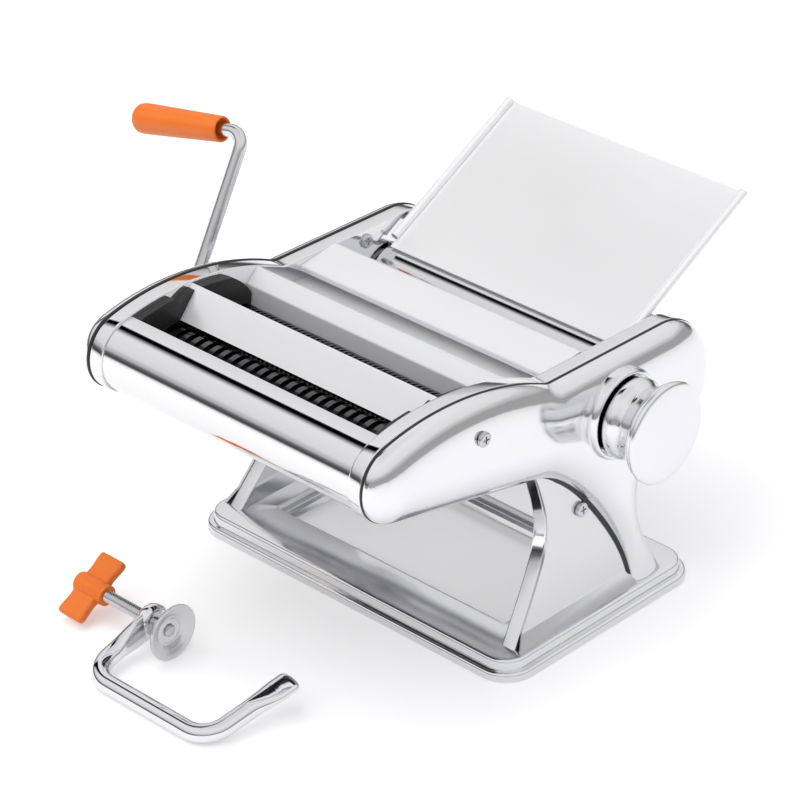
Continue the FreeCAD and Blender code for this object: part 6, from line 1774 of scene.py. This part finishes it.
@dataclass
class InnerWorks:
    """Gears, blocks, rods, springs and screws that keep their own shapes."""

    eased: tuple[str, ...] = ("cover_screws", "leg_screws", "inner_screws")
    steel: tuple[str, ...] = ("tie_rods", "tray_rest_bar", "carrier_bar", "knob_shaft", "detent_pin")
    plated: tuple[str, ...] = ("scraper_front", "scraper_rear", "spiral_cam", "knob_spring")
    nylon: tuple[str, ...] = ("shaft_bushes", "bearing_block_left", "bearing_block_right")

    def build(self) -> None:
        """Dress them."""
        for node in self.eased:
            BENCH.refined(node, SCREW_STEEL, 0.12)
        for node in self.steel:
            BENCH.dressed(node, ROD_STEEL)
        for node in self.plated:
            BENCH.dressed(node, ZINC)
        for node in self.nylon:
            BENCH.dressed(node, WHITE)
        for node in frame["nodes"]:
            if "_gear_" in node:
                BENCH.dressed(node, ZINC)


# Studio -------------------------------------------------------------------------------------------------------


@dataclass
class Studio:
    """Floor, lamps, world and camera."""

    azimuth: float = 43.4
    elevation: float = 30.0
    distance: float = 1713.0
    target: tuple[float, float, float] = (-29.1, 0.0, 71.5)
    lens: float = 162.0
    sky: Pairs = (
        (0.0, 0.9), (0.485, 0.85), (0.505, 0.25), (0.53, 0.06), (0.57, 0.14), (0.64, 0.62), (0.71, 0.88),
        (0.8, 0.92), (0.9, 0.97), (1.0, 0.85),
    )
    flag_above: Pair = (12.0, 16.0)
    flag_below: Pair = (3.0, -15.0)
    flag_side: Pair = (-0.5, -0.3)
    right_run: Pair = (-0.1, 0.3)
    right_fill: float = 0.42
    sky_strength: float = 0.94
    floor_glow: float = 0.29
    mirror_glow: float = 0.19

    def camera(self) -> None:
        """Place the camera."""
        data = bpy.data.cameras.new("camera")
        data.lens = self.lens
        data.sensor_width = 36.0
        data.clip_start = 0.05
        data.clip_end = 60.0
        data.dof.use_dof = False
        thing = placed("camera", data)
        a = math.radians(self.azimuth)
        e = math.radians(self.elevation)
        back = Vector((math.sin(a) * math.cos(e), -math.cos(a) * math.cos(e), math.sin(e)))
        thing.location = point(*self.target) + back * self.distance * MM
        thing.rotation_euler = (-back).to_track_quat("-Z", "Y").to_euler()
        bpy.context.scene.camera = thing

    def floor(self) -> None:
        """Lay the pale floor."""
        bm = bmesh.new()
        bmesh.ops.create_grid(bm, x_segments=1, y_segments=1, size=6.0)
        bmesh.ops.translate(bm, verts=bm.verts, vec=(0, 0, -0.05 * MM))
        mesh = bpy.data.meshes.new("floor")
        bm.to_mesh(mesh)
        bm.free()
        thing = placed("floor", mesh)
        material = bpy.data.materials.new("pale_floor")
        material.use_nodes = True
        tree = material.node_tree
        tree.nodes.clear()
        out = add_node(tree, "OutputMaterial")
        matt = add_node(tree, "BsdfDiffuse", {"Color": (0.86, 0.86, 0.87, 1.0)})
        glow = add_node(tree, "Emission", {"Color": (1.0, 1.0, 1.0, 1.0)})
        rays = add_node(tree, "LightPath")
        mirrored = math_node(tree, "MULTIPLY", (rays, "Is Glossy Ray"), self.mirror_glow)
        seen = math_node(tree, "MULTIPLY", (rays, "Is Camera Ray"), self.floor_glow)
        strength = math_node(tree, "ADD", (seen, 0), (mirrored, 0))
        wire(tree, (strength, 0), (glow, "Strength"))
        both = add_node(tree, "AddShader")
        wire(tree, (matt, 0), (both, 0))
        wire(tree, (glow, 0), (both, 1))
        wire(tree, (both, 0), (out, "Surface"))
        mesh.materials.append(material)

    def world(self) -> None:
        """Light from all round: a pale room with a dark band and a dark flag, which polished metal shows."""
        world = bpy.data.worlds.new("studio")
        bpy.context.scene.world = world
        world.use_nodes = True
        tree = world.node_tree
        back = tree.nodes["Background"]
        place = add_node(tree, "TexCoord")
        split = add_node(tree, "SeparateXYZ")
        wire(tree, (place, "Generated"), (split, 0))
        ramp = add_node(tree, "ValToRGB")
        lift = math_node(tree, "MULTIPLY_ADD", (split, "Z"), 0.5)
        lift.inputs[2].default_value = 0.5
        wire(tree, (lift, 0), (ramp, "Fac"))
        stops = ramp.color_ramp
        stops.interpolation = "EASE"
        first, *others, last = self.sky
        for stop, (place_at, value) in zip(stops.elements, (first, last)):
            stop.position = place_at
            stop.color = (value, value, value * 1.01, 1.0)
        for place_at, value in others:
            stop = stops.elements.new(place_at)
            stop.color = (value, value, value * 1.01, 1.0)
        angle = math_node(tree, "ARCTAN2", (split, "Y"), (split, "Z"))
        above = self.ease(tree, (angle, 0), self.flag_above, True)
        below = self.ease(tree, (angle, 0), self.flag_below, True)
        side = self.ease(tree, (split, "X"), self.flag_side, False)
        edge = math_node(tree, "MAXIMUM", above, below)
        flag = math_node(tree, "MAXIMUM", (edge, 0), side)
        right = self.ease(tree, (split, "X"), self.right_run, False)
        fill = (self.right_fill, self.right_fill, self.right_fill, 1.0)
        filled = add_node(tree, "Mix", {7: fill}, data_type="RGBA", blend_type="LIGHTEN")
        wire(tree, right, (filled, "Factor"))
        wire(tree, (ramp, "Color"), (filled, 6))
        dimmed = add_node(tree, "Mix", {"Factor": 1.0}, data_type="RGBA", blend_type="MULTIPLY")
        wire(tree, (filled, 2), (dimmed, 6))
        wire(tree, (flag, 0), (dimmed, 7))
        wire(tree, (dimmed, 2), (back, "Color"))
        back.inputs["Strength"].default_value = self.sky_strength

    def ease(self, tree: Tree, value: tuple, run: Pair, turned: bool) -> tuple:
        """A soft step from 0 to 1.

        Args:
            tree: The node tree.
            value: The (node, output) that is read.
            run: Where it starts and where it is whole.
            turned: Whether the run is given in degrees.

        Returns:
            The (node, output) of the step.
        """
        start, end = (math.radians(v) if turned else v for v in run)
        low, high = (0.0, 1.0) if start < end else (1.0, 0.0)
        ends = {"From Min": min(start, end), "From Max": max(start, end), "To Min": low, "To Max": high}
        node = add_node(tree, "MapRange", ends, interpolation_type="SMOOTHSTEP")
        wire(tree, value, (node, "Value"))
        return (node, "Result")

    def lamp(self, name: str, place: tuple, aim: tuple, size: Pair, power: float) -> None:
        """Hang one soft lamp.

        Args:
            name: Its name.
            place: Where it hangs, in metres.
            aim: What it points at, in metres.
            size: Its two sides, in metres.
            power: Its power in watts.
        """
        data = bpy.data.lights.new(name, "AREA")
        data.shape = "RECTANGLE"
        data.size, data.size_y = size
        data.energy = power
        thing = placed(name, data)
        thing.visible_glossy = False
        thing.location = place
        thing.rotation_euler = (Vector(aim) - Vector(place)).to_track_quat("-Z", "Y").to_euler()

    def build(self) -> None:
        """Set up the whole studio."""
        self.camera()
        self.floor()
        self.world()
        self.lamp("top_light", (-0.5, -0.2, 1.8), (0, 0, 0.05), (1.4, 1.0), 9.5)
        self.lamp("left_light", (-1.6, -1.0, 0.9), (0, 0, 0.08), (0.9, 1.2), 4.0)
        self.lamp("front_light", (0.15, -1.35, 1.4), (0, 0, 0.1), (1.0, 0.8), 5.0)


def main() -> None:
    """Build the machine piece by piece, then the studio round it."""
    logging.basicConfig(level=logging.INFO, format="%(message)s")
    GROUPS["handling"] = handling_group()
    GROUPS["moulding"] = moulding_group()
    for kind in (SideShells, Deck, Rolls, Base, AdjustingKnob, FeedTray, Crank, TableClamp, InnerWorks):
        LOG.info("building %s", kind.__name__)
        kind().build()
    Studio().build()
    bpy.context.scene.view_settings.view_transform = "Standard"


if __name__ == "__main__":
    main()
